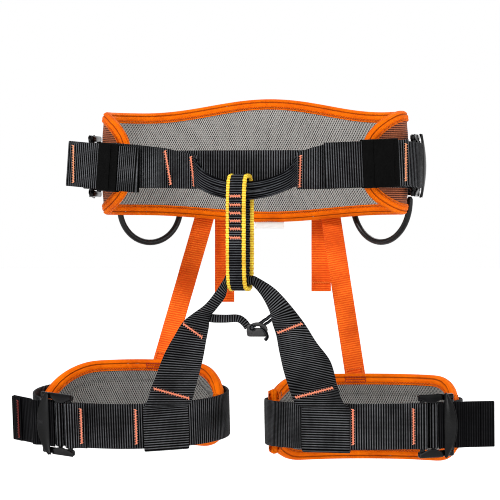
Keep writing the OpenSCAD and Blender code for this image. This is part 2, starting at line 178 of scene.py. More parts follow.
def around(points, i, closed):
    """The points before and after number i, which is its own neighbour at an open end."""
    before = points[i - 1] if closed or i else points[i]
    after = points[(i + 1) % len(points)] if closed or i < len(points) - 1 else points[i]
    return before, after


def rounded_path(points, radii, step=1.5):
    """The polyline through points, with each inner corner turned to its radius."""
    out = [points[0].copy()]
    for i in range(1, len(points) - 1):
        p, r = points[i], radii[i - 1]
        a, b = (points[i - 1] - p).normalized(), (points[i + 1] - p).normalized()
        half = a.angle(b) / 2
        if r <= 0 or half > math.radians(89):
            out.append(p.copy())
            continue
        reach = min(r / math.tan(half), 0.49 * (points[i - 1] - p).length, 0.49 * (points[i + 1] - p).length)
        r = reach * math.tan(half)
        centre = p + (a + b).normalized() * r / math.sin(half)
        u, v = p + a * reach - centre, p + b * reach - centre
        turn = u.angle(v)
        n = max(3, round(r * turn / step))
        for j in range(n + 1):
            k = j / n
            out.append(centre + (math.sin((1 - k) * turn) * u + math.sin(k * turn) * v) / math.sin(turn))
    out.append(points[-1].copy())
    dense = [out[0]]
    for p, q in zip(out, out[1:]):
        if (q - p).length < 1e-6:
            continue
        m = max(1, math.ceil((q - p).length / (2 * step)))
        dense += [p.lerp(q, j / m) for j in range(1, m + 1)]
    return dense


def rows_along(points, across, w, closed=False):
    """Edge rows of a strap of width w along points; across is a vector, or a function of the point's number."""
    rows = []
    for i, p in enumerate(points):
        a, b = around(points, i, closed)
        t = (b - a).normalized()
        x = across(i) if callable(across) else across
        x = (x - x.dot(t) * t).normalized()
        half = (w(i) if callable(w) else w) / 2
        rows.append([p - half * x, p + half * x])
    return rows


# ---------------------------------------------------------------- meshes


def grid(n, m, closed):
    """Faces of a skin over n rings of m vertices, with a cap at each end if it is open."""
    faces = [
        (i * m + j, i * m + (j + 1) % m, (i + 1) % n * m + (j + 1) % m, (i + 1) % n * m + j)
        for i in range(n if closed else n - 1)
        for j in range(m)
    ]
    if not closed:
        faces += [tuple(range(m))[::-1], tuple((n - 1) * m + j for j in range(m))]
    return faces


def strap_attribute(mesh, places):
    """Stores each vertex's place on its strap, which the weaves follow."""
    place = mesh.attributes.new("strap", "FLOAT_VECTOR", "POINT")
    place.data.foreach_set("vector", [c * MM for p in places for c in p])


class Shape:
    """Vertices, faces, a material number per face, and each vertex's place on its strap."""

    def __init__(self):
        self.verts, self.faces, self.mats, self.strap = [], [], [], []

    def add(self, verts, faces, mat=0, strap=None):
        n = len(self.verts)
        self.verts += verts
        self.faces += [tuple(n + i for i in face) for face in faces]
        self.mats += [mat] * len(faces)
        self.strap += strap or [(v.x, v.z, 0) for v in verts]
        return self

    def band(self, rows, thick, mat=0, wave=0.0, seed=0.0, closed=False, crown=0.0):
        """Webbing between the two edge points of each row; crown lifts its middle towards its first face."""
        mids = [(a + b) / 2 for a, b in rows]
        n, s, verts, strap = len(rows), 0.0, [], []
        for i, (a, b) in enumerate(rows):
            before, after = around(mids, i, closed)
            if i:
                s += (mids[i] - mids[i - 1]).length
            across = b - a
            w = across.length
            x = across / w
            up = x.cross((after - before).normalized()).normalized()
            t = thick(s) if callable(thick) else thick
            e = min(0.9 * t, w / 2)
            inner = w / 2 - e
            half = [(-w / 2, 0.25), (-w / 2 + 0.12 * e, 0.62), (-w / 2 + 0.45 * e, 0.9)]
            half += [(-inner, 1), (-inner / 2, 1), (0, 1)]
            top = half + [(-p, k) for p, k in reversed(half[:-1])]
            for side, line in ((1, top), (-1, top[::-1])):
                for p, k in line:
                    lift = crown * (1 - (2 * p / w) ** 2)
                    if wave:
                        lift += wave * noise.noise(Vector((s / 26, p / 34 + seed, seed)))
                    verts.append(mids[i] + x * p + up * (side * k * t / 2 + lift))
                    strap.append((s, p, side))
        return self.add(verts, grid(n, len(verts) // n, closed), mat, strap)

    def tube(self, points, r, mat=0, sides=8, closed=False, lobes=0, depth=0.0, lay=9.0):
        """A round tube; lobes twist along it once in each lay, as strands do."""
        n, s, verts, strap = len(points), 0.0, [], []
        up = None
        for i, p in enumerate(points):
            a, b = around(points, i, closed)
            t = (b - a).normalized()
            if up is None:
                up = UP.copy() if abs(t.z) < 0.9 else Vector((1, 0, 0))
            up = (up - up.dot(t) * t).normalized()
            side = t.cross(up)
            if i:
                s += (p - points[i - 1]).length
            here = r(i / max(1, n - 1)) if callable(r) else r
            for j in range(sides):
                q = 2 * math.pi * j / sides
                k = here + depth * math.cos(lobes * (q - 2 * math.pi * s / lay / max(1, lobes)))
                verts.append(p + k * (math.cos(q) * up + math.sin(q) * side))
                strap.append((s, here * q, 1))
        return self.add(verts, grid(n, sides, closed), mat, strap)

    def box(self, place, centre, size, bevel):
        """A bevelled box in the space that place maps from."""
        bm = bmesh.new()
        bmesh.ops.create_cube(bm, size=1)
        for v in bm.verts:
            v.co = Vector((v.co.x * size[0], v.co.y * size[1], v.co.z * size[2]))
        bmesh.ops.bevel(bm, geom=bm.edges[:], offset=bevel, segments=3, profile=0.5, affect="EDGES")
        bm.verts.index_update()
        local = [v.co + Vector(centre) for v in bm.verts]
        faces = [tuple(v.index for v in f.verts) for f in bm.faces]
        bm.free()
        return self.add([place(p) for p in local], faces, strap=[(p.x, p.z, p.y) for p in local])

    def make(self, name, mats, body=None, slot=None, nodes=(), angle=38):
        """Makes the object, and says which body carries it and which CAD nodes it stands for."""
        mesh = bpy.data.meshes.new(name)
        mesh.from_pydata([v * MM for v in self.verts], [], self.faces)
        for m in mats if isinstance(mats, (list, tuple)) else [mats]:
            mesh.materials.append(m)
        mesh.polygons.foreach_set("material_index", self.mats)
        mesh.polygons.foreach_set("use_smooth", [True] * len(self.faces))
        strap_attribute(mesh, self.strap)
        bm = bmesh.new()
        bm.from_mesh(mesh)
        bmesh.ops.recalc_face_normals(bm, faces=bm.faces)
        bm.to_mesh(mesh)
        bm.free()
        mesh.set_sharp_from_angle(angle=math.radians(angle))
        ob = bpy.data.objects.new(name, mesh)
        bpy.context.scene.collection.objects.link(ob)
        if nodes:
            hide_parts(*nodes)
        if body:
            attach(ob, body)
        return ob


def zigzag(p0, p1, side, width, pitch, lift):
    """Path of the thread in a bar tack from p0 to p1."""
    n = max(4, round((p1 - p0).length / pitch))
    return [p0.lerp(p1, i / n) + side * (width / 2 if i % 2 else -width / 2) + lift for i in range(n + 1)]


def tack(shape, p0, p1, out, width=2.2, mat=0, r=0.46):
    """A bar tack lying on a surface whose outward normal is out: a dense zigzag over its own padding stitches."""
    along = (p1 - p0).normalized()
    side = along.cross(out).normalized()
    lift = out * 0.45
    core = [p0.lerp(p1, i / 8) for i in range(9)]
    half, base = side * width * 0.3, lift * 0.6
    shape.band([[p - half + base, p + half + base] for p in core], 0.7, mat)
    shape.tube(zigzag(p0, p1, side, width * 1.35, 1.25, lift * 1.6), r, mat, sides=5)


def stitches(shape, path, out, pitch, length, r):
    """Separate stitches along a path of points; out gives the surface normal at each point."""
    gone = lengths(path)
    start = pitch / 2
    while start + length < gone[-1]:
        ends = []
        for k in (0, 0.25, 0.5, 0.75, 1):
            normal = interpolate(gone, out, start + k * length).normalized()
            lift = 0.18 * math.sin(math.pi * k) - 0.12
            ends.append(interpolate(gone, path, start + k * length) + normal * lift)
        shape.tube(ends, r, sides=5)
        start += pitch


# ---------------------------------------------------------------- materials


class Nodes:
    """Short calls for a material's node tree."""

    def __init__(self, name):
        self.mat = bpy.data.materials.new(name)
        self.mat.use_nodes = True
        self.tree = self.mat.node_tree
        self.bsdf = self.tree.nodes["Principled BSDF"]

    def new(self, kind, **inputs):
        node = self.tree.nodes.new(kind)
        for key, value in inputs.items():
            self.put(node.inputs[key.replace("_", " ")], value)
        return node

    def put(self, socket, value):
        if isinstance(value, bpy.types.NodeSocket):
            self.tree.links.new(value, socket)
        else:
            socket.default_value = value

    def math(self, op, a, b=0.0, c=0.0):
        node = self.tree.nodes.new("ShaderNodeMath")
        node.operation = op
        for socket, value in zip(node.inputs, (a, b, c)):
            self.put(socket, value)
        return node.outputs[0]

    def wave(self, x, pitch, phase=0.0):
        """0 to 1 and back once in each pitch of x."""
        turn = self.math("MULTIPLY_ADD", x, 2 * math.pi / pitch, phase)
        return self.math("MULTIPLY_ADD", self.math("SINE", turn), 0.5, 0.5)

    def mix(self, k, a, b, blend="MIX"):
        node = self.tree.nodes.new("ShaderNodeMix")
        node.data_type, node.blend_type = "RGBA", blend
        self.put(node.inputs[0], k)
        self.put(node.inputs[6], a)
        self.put(node.inputs[7], b)
        return node.outputs[2]

    def strap(self):
        """The length along a strap and the distance across it."""
        node = self.tree.nodes.new("ShaderNodeAttribute")
        node.attribute_name = "strap"
        part = self.new("ShaderNodeSeparateXYZ", Vector=node.outputs["Vector"])
        return part.outputs[0], part.outputs[1]

    def noise(self, scale, detail=3):
        node = self.tree.nodes.new("ShaderNodeTexNoise")
        node.inputs["Scale"].default_value = scale
        node.inputs["Detail"].default_value = detail
        node.inputs["Roughness"].default_value = 0.55
        self.put(node.inputs["Vector"], self.tree.nodes.new("ShaderNodeTexCoord").outputs["Object"])
        return node.outputs["Fac"]

    def ramp(self, x, *stops):
        node = self.tree.nodes.new("ShaderNodeValToRGB")
        while len(node.color_ramp.elements) < len(stops):
            node.color_ramp.elements.new(0.5)
        for e, (pos, value) in zip(node.color_ramp.elements, stops):
            e.position = pos
            e.color = value if len(value) == 4 else (*value, 1)
        self.put(node.inputs[0], x)
        return node.outputs[0]

    def finish(self, colour, rough, height=None, depth=0.0003, strength=1.0, **plain):
        """Sets the surface; height is a bump of the given depth in metres."""
        self.put(self.bsdf.inputs["Base Color"], colour)
        self.put(self.bsdf.inputs["Roughness"], rough)
        if height is not None:
            bump = self.new("ShaderNodeBump", Height=height, Distance=depth, Strength=strength)
            self.put(self.bsdf.inputs["Normal"], bump.outputs[0])
        for key, value in plain.items():
            self.bsdf.inputs[key.replace("_", " ")].default_value = value
        return self.mat


def rgba(r, g, b, k=1.0):
    """Linear colour from 8-bit sRGB, times k."""
    out = []
    for c in (r, g, b):
        c /= 255
        out.append(k * (c / 12.92 if c <= 0.04045 else ((c + 0.055) / 1.055) ** 2.4))
    return (*out, 1)


def dark(colour, k):
    """The colour times k, opaque."""
    return (*(k * c for c in colour[:3]), 1)


def webbing_material(name, top, groove, depth=0.0004, edge=3.2, lengthways=False, gloss=0.03):
    """Ribbed webbing: narrow ribs across the strap with painted highlights on their tops and painted shade in the
    grooves between them, fine yarns along it, and slight fading.
    """
    m = Nodes(name)
    x, y = m.strap()
    if lengthways:
        x, y = y, x
    rib = m.wave(x, 0.0024)
    ridge = m.math("POWER", rib, edge)
    yarn = m.wave(y, 0.0012, 0.4)
    twist = m.wave(m.math("ADD", x, y), 0.0008)
    fuzz = m.noise(900, 2)
    patch = m.noise(30, 3)
    k = m.math("MULTIPLY", ridge, m.math("MULTIPLY_ADD", yarn, 0.4, 0.6))
    k = m.math("MULTIPLY", k, m.math("MULTIPLY_ADD", fuzz, 0.7, 0.65))
    k = m.math("MULTIPLY", k, m.math("MULTIPLY_ADD", patch, 2.4, -0.2))
    # The groove colour is painted shade between the ribs, and the top colour is a painted highlight on them.
    colour = m.mix(k, groove, top)
    fade = m.ramp(patch, (0.3, (0.82, 0.82, 0.82)), (0.7, (1.1, 1.1, 1.1)))
    colour = m.mix(1.0, colour, fade, "MULTIPLY")
    fine = m.math("MULTIPLY", m.math("MULTIPLY", yarn, twist), 0.25)
    height = m.math("ADD", m.math("MULTIPLY", rib, 0.75), fine)
    rough = m.math("MULTIPLY_ADD", k, -0.12, 0.65)
    return m.finish(colour, rough, height, depth, 1.0, Specular_IOR_Level=gloss)


def tape_material(name, top, groove, pitch=0.0013, rough=0.7, shaded_grooves=(), gloss=0.2):
    """Smooth tape with a fine crosswise grain, and painted shade along the sewn-down grooves it is given."""
    m = Nodes(name)
    x, y = m.strap()
    grain = m.math("MULTIPLY", m.wave(x, pitch), m.wave(y, pitch * 1.4))
    patch = m.noise(45, 3)
    k = m.math("MULTIPLY_ADD", grain, 0.4, m.math("MULTIPLY_ADD", patch, 1.3, -0.1))
    colour = m.mix(k, groove, top)
    across = m.math("WRAP", y, 0.03, 0.0)
    # Painted shade: near-black lines where the tape sinks into its sewn grooves.
    for at in shaded_grooves:
        near = m.math("MULTIPLY", m.math("ABSOLUTE", m.math("SUBTRACT", across, at)), 1 / 0.0011)
        groove_shade = m.math("MAXIMUM", m.math("SUBTRACT", 0.85, near), 0.0)
        colour = m.mix(groove_shade, colour, dark(groove, 0.2))
    height = m.math("MULTIPLY_ADD", patch, 1.2, grain)
    return m.finish(colour, rough, height, 0.0003, 1.0, Specular_IOR_Level=gloss)


def lining_material(name="lining_mesh", light=1.0):
    """Grey spacer mesh with a fine diagonal weave and small openings; light below 1 darkens all of it as painted
    shade.
    """
    m = Nodes(name)
    x, y = m.strap()
    half = m.math("MULTIPLY", y, 0.5)
    a = m.wave(m.math("SUBTRACT", x, half), 0.0021)
    b = m.wave(m.math("ADD", x, half), 0.0021)
    hole = m.math("MULTIPLY", a, m.math("MULTIPLY_ADD", b, 0.7, 0.3))
    patch = m.noise(30, 4)
    fuzz = m.noise(700, 2)
    k = m.math("MULTIPLY_ADD", hole, -1.6, 1.0)
    k = m.math("ADD", k, m.math("MULTIPLY_ADD", patch, 0.3, -0.15))
    k = m.math("ADD", k, m.math("MULTIPLY_ADD", fuzz, 0.3, -0.15))
    colour = m.mix(k, rgba(14, 14, 14, light), rgba(180, 178, 174, light))
    height = m.math("MULTIPLY", hole, -1.0)
    return m.finish(colour, 0.85, height, 0.0003, 0.9, Specular_IOR_Level=0.2)


def outer_material():
    """Brown and orange outer mesh with fine lines along the pad."""
    m = Nodes("outer_mesh")
    x, y = m.strap()
    line = m.wave(y, 0.0021)
    cell = m.math("MULTIPLY", m.wave(x, 0.0024), m.wave(y, 0.0016))
    patch = m.noise(40, 4)
    k = m.math("ADD", m.math("MULTIPLY_ADD", line, 0.8, -0.05), m.math("MULTIPLY", cell, 0.2))
    k = m.math("ADD", k, m.math("MULTIPLY_ADD", patch, 0.5, -0.25))
    colour = m.mix(k, rgba(60, 16, 4), rgba(194, 112, 74))
    height = m.math("ADD", line, m.math("MULTIPLY", cell, 0.5))
    return m.finish(colour, 0.75, height, 0.0003, 0.8, Specular_IOR_Level=0.2)


def thread_material(name, colour):
    m = Nodes(name)
    x, y = m.strap()
    ply = m.wave(m.math("ADD", x, m.math("MULTIPLY", y, 0.8)), 0.0007)
    # Darker between the twisted plies: painted shade in the troughs of the thread.
    ply_shade = m.mix(m.math("MULTIPLY_ADD", ply, 0.5, 0.5), dark(colour, 0.45), colour)
    return m.finish(ply_shade, 0.5, ply, 0.0001, 0.8, Specular_IOR_Level=0.3)


def coated_metal():
    """Black coated steel: soft gloss, faint orange peel, and paler rubbed patches."""
    m = Nodes("coated_metal")
    peel = m.noise(420, 2)
    wear = m.noise(60, 5)
    stops = (0.35, (0.001, 0.001, 0.0012)), (0.66, (0.003, 0.003, 0.0035)), (0.85, (0.02, 0.02, 0.021))
    colour = m.ramp(wear, *stops)
    rough = m.math("MULTIPLY_ADD", wear, 0.2, 0.1)
    return m.finish(colour, rough, peel, 0.00005, 0.4, Specular_IOR_Level=0.16)


def plastic(name, base, rough=0.4, grain=300, gloss=0.5):
    m = Nodes(name)
    n = m.noise(grain, 3)
    patch = m.noise(35, 3)
    colour = m.mix(patch, dark(base, 0.75), dark(base, 1.3))
    return m.finish(colour, m.math("MULTIPLY_ADD", n, 0.15, rough), n, 0.00008, 0.6, Specular_IOR_Level=gloss)


def label_material():
    m = Nodes("label_cloth")
    x, y = m.strap()
    weave = m.math("MULTIPLY", m.wave(x, 0.0007), m.wave(y, 0.0007))
    colour = m.mix(weave, rgba(225, 224, 220), rgba(248, 248, 246))
    return m.finish(colour, 0.55, weave, 0.0001, 0.7, Sheen_Weight=0.2)


BLACK = webbing_material("webbing_black_weave", rgba(94, 95, 98), rgba(0, 0, 0))
BLACK_LINES = webbing_material(
    "webbing_folded_weave", rgba(72, 74, 78), rgba(0, 0, 1), depth=0.0002, lengthways=True
)
# A darker copy of the black webbing: painted shade for the leg tails, which turn away from the light.
BLACK_PAINTED_SHADE = webbing_material("webbing_unlit_weave", rgba(30, 30, 32), rgba(3, 3, 4), depth=0.0002)
ORANGE = webbing_material(
    "webbing_orange_weave", rgba(255, 122, 32), rgba(228, 72, 4), edge=1.0, gloss=0.1
)
BELAY = webbing_material("belay_weave", rgba(92, 94, 98), rgba(0, 0, 1))
YELLOW = webbing_material(
    "yellow_braid", rgba(255, 240, 84), rgba(206, 140, 12), depth=0.0002, edge=0.7, gloss=0.2
)
BINDING = tape_material(
    "binding_tape", rgba(252, 118, 0), rgba(196, 66, 0), shaded_grooves=(0.0218, 0.0272), gloss=0.06
)
ELASTIC = tape_material("elastic_tape", rgba(11, 11, 11), rgba(3, 3, 3), 0.0009, rough=0.6, gloss=0.03)
LINING = lining_material()
# The leg lining is the same mesh darkened all over: painted shade for the shaded insides of the leg loops.
LEG_LINING_PAINTED_SHADE = lining_material("lining_mesh_leg_painted_shade", 0.62)
OUTER = outer_material()
SALMON = thread_material("thread_salmon", rgba(255, 158, 124))
PALE = thread_material("thread_pale", rgba(250, 172, 128))
# Orange-red tack thread darkened to red: painted shade for the tack on the right leg's tail.
TAIL_TACK_PAINTED_SHADE = thread_material("thread_red_painted_shade", rgba(120, 34, 26))
SEAM = thread_material("thread_orange", rgba(255, 128, 36))
RED_THREAD = thread_material("thread_red", rgba(186, 48, 10))
GREY_THREAD = thread_material("thread_grey", rgba(96, 95, 92))
METAL = coated_metal()
TUBE = plastic("loop_tube", (0.005, 0.005, 0.0055, 1), 0.25, gloss=0.25)
LOCK = plastic("lock_plastic_grain", (0.016, 0.016, 0.017, 1), 0.45)
LABEL = label_material()

# ---------------------------------------------------------------- pads


class Pad:
    """A pad on a ring. Its outline is a closed list of (length along the ring, height) points."""

    def __init__(self, c, h, a0, a1, place, undo, outline):
        self.c, self.h, self.place, self.undo = c, h, place, undo
        self.angles = [a0 + (a1 - a0) * i / 720 for i in range(721)]
        self.lengths = lengths([ring(c, h, a, -PAD_T / 2) for a in self.angles])
        self.length = self.lengths[-1]
        pts = resample(outline(self), 2.2)
        for _ in range(9):
            pts = [
                tuple((a + 2 * b + c) / 4 for a, b, c in zip(pts[i - 1], p, pts[(i + 1) % len(pts)]))
                for i, p in enumerate(pts)
            ]
        self.outline = pts

    def angle(self, s):
        """Ring angle at a length."""
        return interpolate(self.lengths, self.angles, s)

    def point(self, s, z, t):
        """t runs from -PAD_T at the lining to 0 at the outer mesh."""
        p = ring(self.c, self.h, self.angle(s), t)
        return self.place((p.x, p.y, z))

    def middle(self, p):
        """The point halfway through the pad at an outline point."""
        return self.point(p[0], p[1], -PAD_T / 2)

    def back(self, p):
        """(length, height, offset) of a point in the frame's space, the inverse of point."""
        q, c, h = self.undo(p), self.c, self.h
        a = math.degrees(math.atan2((q[1] - c.y) / h.y, (q[0] - c.x) / h.x))
        if a < -90:
            a += 360
        t = (Vector((q[0], q[1])) - ring(c, h, a, 0)).dot(ring_out(h, a))
        return (interpolate(self.angles, self.lengths, a), q[2], t)

    def edge(self, s, z):
        """Distance from the outline."""
        best = 1e9
        for (x0, y0), (x1, y1) in closed_pairs(self.outline):
            dx, dy = x1 - x0, y1 - y0
            k = max(0, min(1, ((s - x0) * dx + (z - y0) * dy) / (dx * dx + dy * dy + 1e-12)))
            best = min(best, math.hypot(x0 + k * dx - s, y0 + k * dy - z))
        return best


def pad_depth(d):
    """A pad's thickness at distance d from its edge."""
    if d < BINDING_W:
        return 5.2 + 2.6 * math.sin(math.pi / 2 * d / BINDING_W)
    k = min(1, (d - BINDING_W) / 16)
    return 7.8 + 2.4 * k * k * (3 - 2 * k)


def resample(points, step):
    """Closed outline with points about every step, its corners kept."""
    out = []
    for p, q in closed_pairs(points):
        m = max(1, round(math.hypot(q[0] - p[0], q[1] - p[1]) / step))
        out += [(p[0] + (q[0] - p[0]) * j / m, p[1] + (q[1] - p[1]) * j / m) for j in range(m)]
    return out


def swell(ob, pad, still=BINDING_W + 1, cap=2.6):
    """Remeshes the pad, puffs it up as cloth with its bound edge held, and puts the result in the mesh."""
    remesh = ob.modifiers.new("voxels", "REMESH")
    remesh.mode, remesh.voxel_size = "VOXEL", 0.0042
    bpy.context.view_layer.update()
    graph = bpy.context.evaluated_depsgraph_get()
    mesh = bpy.data.meshes.new_from_object(ob.evaluated_get(graph))
    ob.modifiers.clear()
    ob.data = mesh
    held = ob.vertex_groups.new(name="bound_edge")
    for v in mesh.vertices:
        d = pad.edge(*pad.back(v.co / MM)[:2])
        held.add([v.index], 1.0 if d < still else max(0.0, 1 - (d - still) / 9), "REPLACE")
    rest = [v.co.copy() for v in mesh.vertices]
    cloth = ob.modifiers.new("cloth", "CLOTH")
    cloth.settings.use_pressure = True
    cloth.settings.uniform_pressure_force = 4
    cloth.settings.effector_weights.gravity = 0
    cloth.settings.vertex_group_mass = "bound_edge"
    cloth.settings.mass = 0.3
    cloth.settings.quality = 6
    scene = bpy.context.scene
    for f in range(1, 21):
        scene.frame_set(f)
    graph = bpy.context.evaluated_depsgraph_get()
    puffed = [v.co.copy() for v in ob.evaluated_get(graph).data.vertices]
    ob.modifiers.clear()
    scene.frame_set(1)
    for v, a, b in zip(mesh.vertices, rest, puffed):
        move = b - a
        far = move.length
        v.co = a + (move * min(1, cap * MM / far) if far > 1e-9 else move)


def build_pad(name, pad, body, nodes, mats, channel=None):
    """The stuffed core, one closed piece with the lining inside and the outer mesh outside."""
    step, rows = 6, 22
    ends = [round(p[0], 3) for p in resample(pad.outline, step)]
    lo, hi = min(ends), max(ends)
    n = round((hi - lo) / step)
    columns = []
    for i in range(n + 1):
        s = lo + (hi - lo) * (0.002 + 0.996 * i / n)
        zs = []
        for (x0, z0), (x1, z1) in closed_pairs(pad.outline):
            if (x0 - s) * (x1 - s) <= 0 and x0 != x1:
                zs.append(z0 + (z1 - z0) * (s - x0) / (x1 - x0))
        columns.append((s, min(zs), max(zs)))
    verts, index = [], {}
    for side in (-1, 1):
        for i, (s, z0, z1) in enumerate(columns):
            for j in range(rows + 1):
                z = z0 + (z1 - z0) * j / rows
                half = pad_depth(pad.edge(s, z)) / 2
                index[side, i, j] = len(verts)
                verts.append(pad.point(s, z, -PAD_T / 2 + side * half))
    faces = []
    for side in (-1, 1):
        for i in range(n):
            for j in range(rows):
                corners = ((i, j), (i + 1, j), (i + 1, j + 1), (i, j + 1))
                faces.append(tuple(index[side, k, m] for k, m in corners))
    rim = [(i, 0) for i in range(n + 1)] + [(n, j) for j in range(1, rows + 1)]
    rim += [(i, rows) for i in range(n - 1, -1, -1)] + [(0, j) for j in range(rows - 1, 0, -1)]
    for (i, j), (k, m) in closed_pairs(rim):
        faces.append((index[-1, i, j], index[-1, k, m], index[1, k, m], index[1, i, j]))
    ob = Shape().add(verts, faces).make(name, mats)
    swell(ob, pad)
    mesh = ob.data
    while mesh.attributes.get("strap"):
        mesh.attributes.remove(mesh.attributes["strap"])
    if channel:
        channel(pad, mesh)
    bm = bmesh.new()
    bm.from_mesh(mesh)
    bmesh.ops.subdivide_edges(bm, edges=bm.edges[:], cuts=1, use_grid_fill=True, smooth=1.0)
    bm.to_mesh(mesh)
    bm.free()
    if len(mesh.materials) == 0:
        for m in mats:
            mesh.materials.append(m)
    where = [pad.back(v.co / MM) for v in mesh.vertices]
    strap_attribute(mesh, where)
    for f in mesh.polygons:
        f.use_smooth = True
        f.material_index = 1 if sum(where[v][2] for v in f.vertices) / len(f.vertices) > -PAD_T / 2 else 0
    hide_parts(*nodes)
    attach(ob, body)


def outline_frames(pad, step=1.1):
    """Points of the outline with the outward direction at each, in (length, height)."""
    pts = resample(pad.outline, step)
    n = len(pts)
    area = sum(pts[i - 1][0] * pts[i][1] - pts[i][0] * pts[i - 1][1] for i in range(n))
    turn = 1 if area > 0 else -1
    out = []
    for i, p in enumerate(pts):
        a, b = pts[i - 2], pts[(i + 2) % n]
        d = Vector((b[0] - a[0], b[1] - a[1])).normalized()
        out.append((Vector(p), turn * Vector((d.y, -d.x))))
    return out


def bind(name, pad, body, node):
    """Tape folded over the pad's edge all round, with a line of stitches on each face."""
    frames = outline_frames(pad)
    # (distance in from the edge, height of the tape over the pad): two sewn grooves with a ridge between them
    half = [(-BINDING_W, 0.15), (-BINDING_W + 0.2, 0.95), (-9, 1.05), (-8.4, 0.5), (-7.8, 0.5), (-7.2, 1.0)]
    half += [(-6.2, 1.4), (-4.6, 1.45), (-3.6, 1.1), (-3, 0.4), (-2.4, 0.5), (-1.8, 1.0)]
    verts, strap, s = [], [], 0.0
    lines = {-1: [], 1: []}
    rim = pad_depth(0) / 2
    for i, (p, e) in enumerate(frames):
        if i:
            s += (p - frames[i - 1][0]).length
        pucker = 0.5 * noise.noise(Vector((s / 6, 3.1, 0.7))) + 0.4 * noise.noise(Vector((s / 2.6, 9.1, 1.3)))
        here = pad.middle(p)
        lapped = 0.9 if name == "waist_pad_edge" and abs(here.x + 2) < 12 and here.z < 0 else 0.0
        profile = []
        for d, lift in half:
            ease = min(1, max(0, (d + BINDING_W) / 3)) * min(1, -d / 3)
            profile.append((d, pad_depth(-d) / 2 + lift + (pucker + lapped) * ease))
        fold = [(-0.7, rim + 0.55), (0.1, rim * 0.72), (0.5, rim * 0.35)]
        section = [(d, -k) for d, k in profile + fold] + [(0.6, 0)] + [(d, k) for d, k in reversed(profile + fold)]
        inner = [(d, k) for d, k in ((-BINDING_W, rim + 1.35), (-5, rim + 0.9), (-0.9, rim - 0.3))]
        section += inner + [(d, -k) for d, k in reversed(inner)]
        for j, (d, k) in enumerate(section):
            q = p + d * e
            verts.append(pad.point(q.x, q.y, -PAD_T / 2 + k))
            strap.append((s, d + (30 if k > 0 else 0), k))
        for side in (-1, 1):
            q = p - (7.3 + 1.5 * (i % 2)) * e
            lift = pad_depth(8.1) / 2 + 1.25 + pucker * 0.5
            lines[side].append(pad.point(q.x, q.y, -PAD_T / 2 + side * lift))
    shape = Shape().add(verts, grid(len(frames), len(verts) // len(frames), True), 0, strap)
    for side in (-1, 1):
        shape.tube(lines[side], 0.34, 1, sides=5, closed=True)
    shape.make(name, [BINDING, SEAM], body, "binding", [node], angle=60)


def hump(x):
    """Swing of the waist pad's edges, 1 in the middle of the back."""
    return math.cos(math.pi / 2 * min(1, abs(x) / 125)) ** 2


def waist_outline(pad):
    """Bottom edge rearwards and round, then the top edge back, with rounded front corners."""

    def reach(y):
        """Length along the pad at which it has come back to y."""
        low, high = 0.0, pad.length / 4
        for _ in range(30):
            middle = (low + high) / 2
            if ring(WAIST_C, WAIST_H, pad.angle(middle), -PAD_T / 2).y < y:
                low = middle
            else:
                high = middle
        return low

    ends = []
    for q in range(0, 90, 5):
        q = math.radians(q)
        ends.append((reach(TIP_Y + TIP_DEPTH * (1 - math.cos(q))), 1 - math.sin(q)))
    first = reach(TIP_Y + TIP_DEPTH)
    middle = [first + (pad.length - 2 * first) * i / 130 for i in range(131)]
    humps = [hump(ring(WAIST_C, WAIST_H, pad.angle(s), -PAD_T / 2).x) for s in middle]
    edges = []
    for level, corner, rise in ((-48, 32, -7), (54, -38, 15)):
        edge = [(s, level + corner * k) for s, k in ends]
        edge += [(s, level + rise * k) for s, k in zip(middle, humps)]
        edge += [(pad.length - s, level + corner * k) for s, k in reversed(ends)]
        edges.append(edge)
    return edges[0] + edges[1][::-1]


def leg_outline(hand, pad):
    """Rounded corners seen from the front, on the ring, cut off at its front edges."""
    outer, inner = LEG_CORNERS[hand]
    bottom, top = [], []
    n = 110
    for i in range(n + 1):
        s = pad.length * (0.5 - 0.5 * math.cos(math.pi * i / n))
        x = ring(LEG_O, LEG_H, pad.angle(s), 0).x
        wide, tall = outer if x > 0 else inner
        over = (abs(x) - (LEG_H.x + 1 - wide)) / wide
        corner = tall * (1 - math.sqrt(max(0, 1 - over**2))) if over > 0 else 0
        bottom.append((s, corner - LEG_PAD_H / 2))
        top.append((s, LEG_PAD_H / 2 - corner))
    return bottom + top[::-1]


def leg_channel(pad, mesh):
    """Pulls the lining in along the stitched channel."""
    for v in mesh.vertices:
        s, z, t = pad.back(v.co / MM)
        if t > -PAD_T / 2:
            continue
        d = pad.edge(s, z)
        pull = 1.1 * math.exp(-(((d - CHANNEL_IN) / 2.6) ** 2))
        if pull > 0.05:
            toward = pad.point(s, z, t + 1) - pad.point(s, z, t)
            v.co += toward * pull * MM


def pad_nodes(word, ending=""):
    return [f"{word}_{part}{ending}" for part in ("lining", "foam", "outer")]


waist_pad = Pad(WAIST_C, WAIST_H, -50, 230, Vector, Vector, waist_outline)
build_pad("waist_pad", waist_pad, "waist", pad_nodes("waist_pad"), [LINING, OUTER])
bind("waist_pad_edge", waist_pad, "waist", "waist_pad_binding")

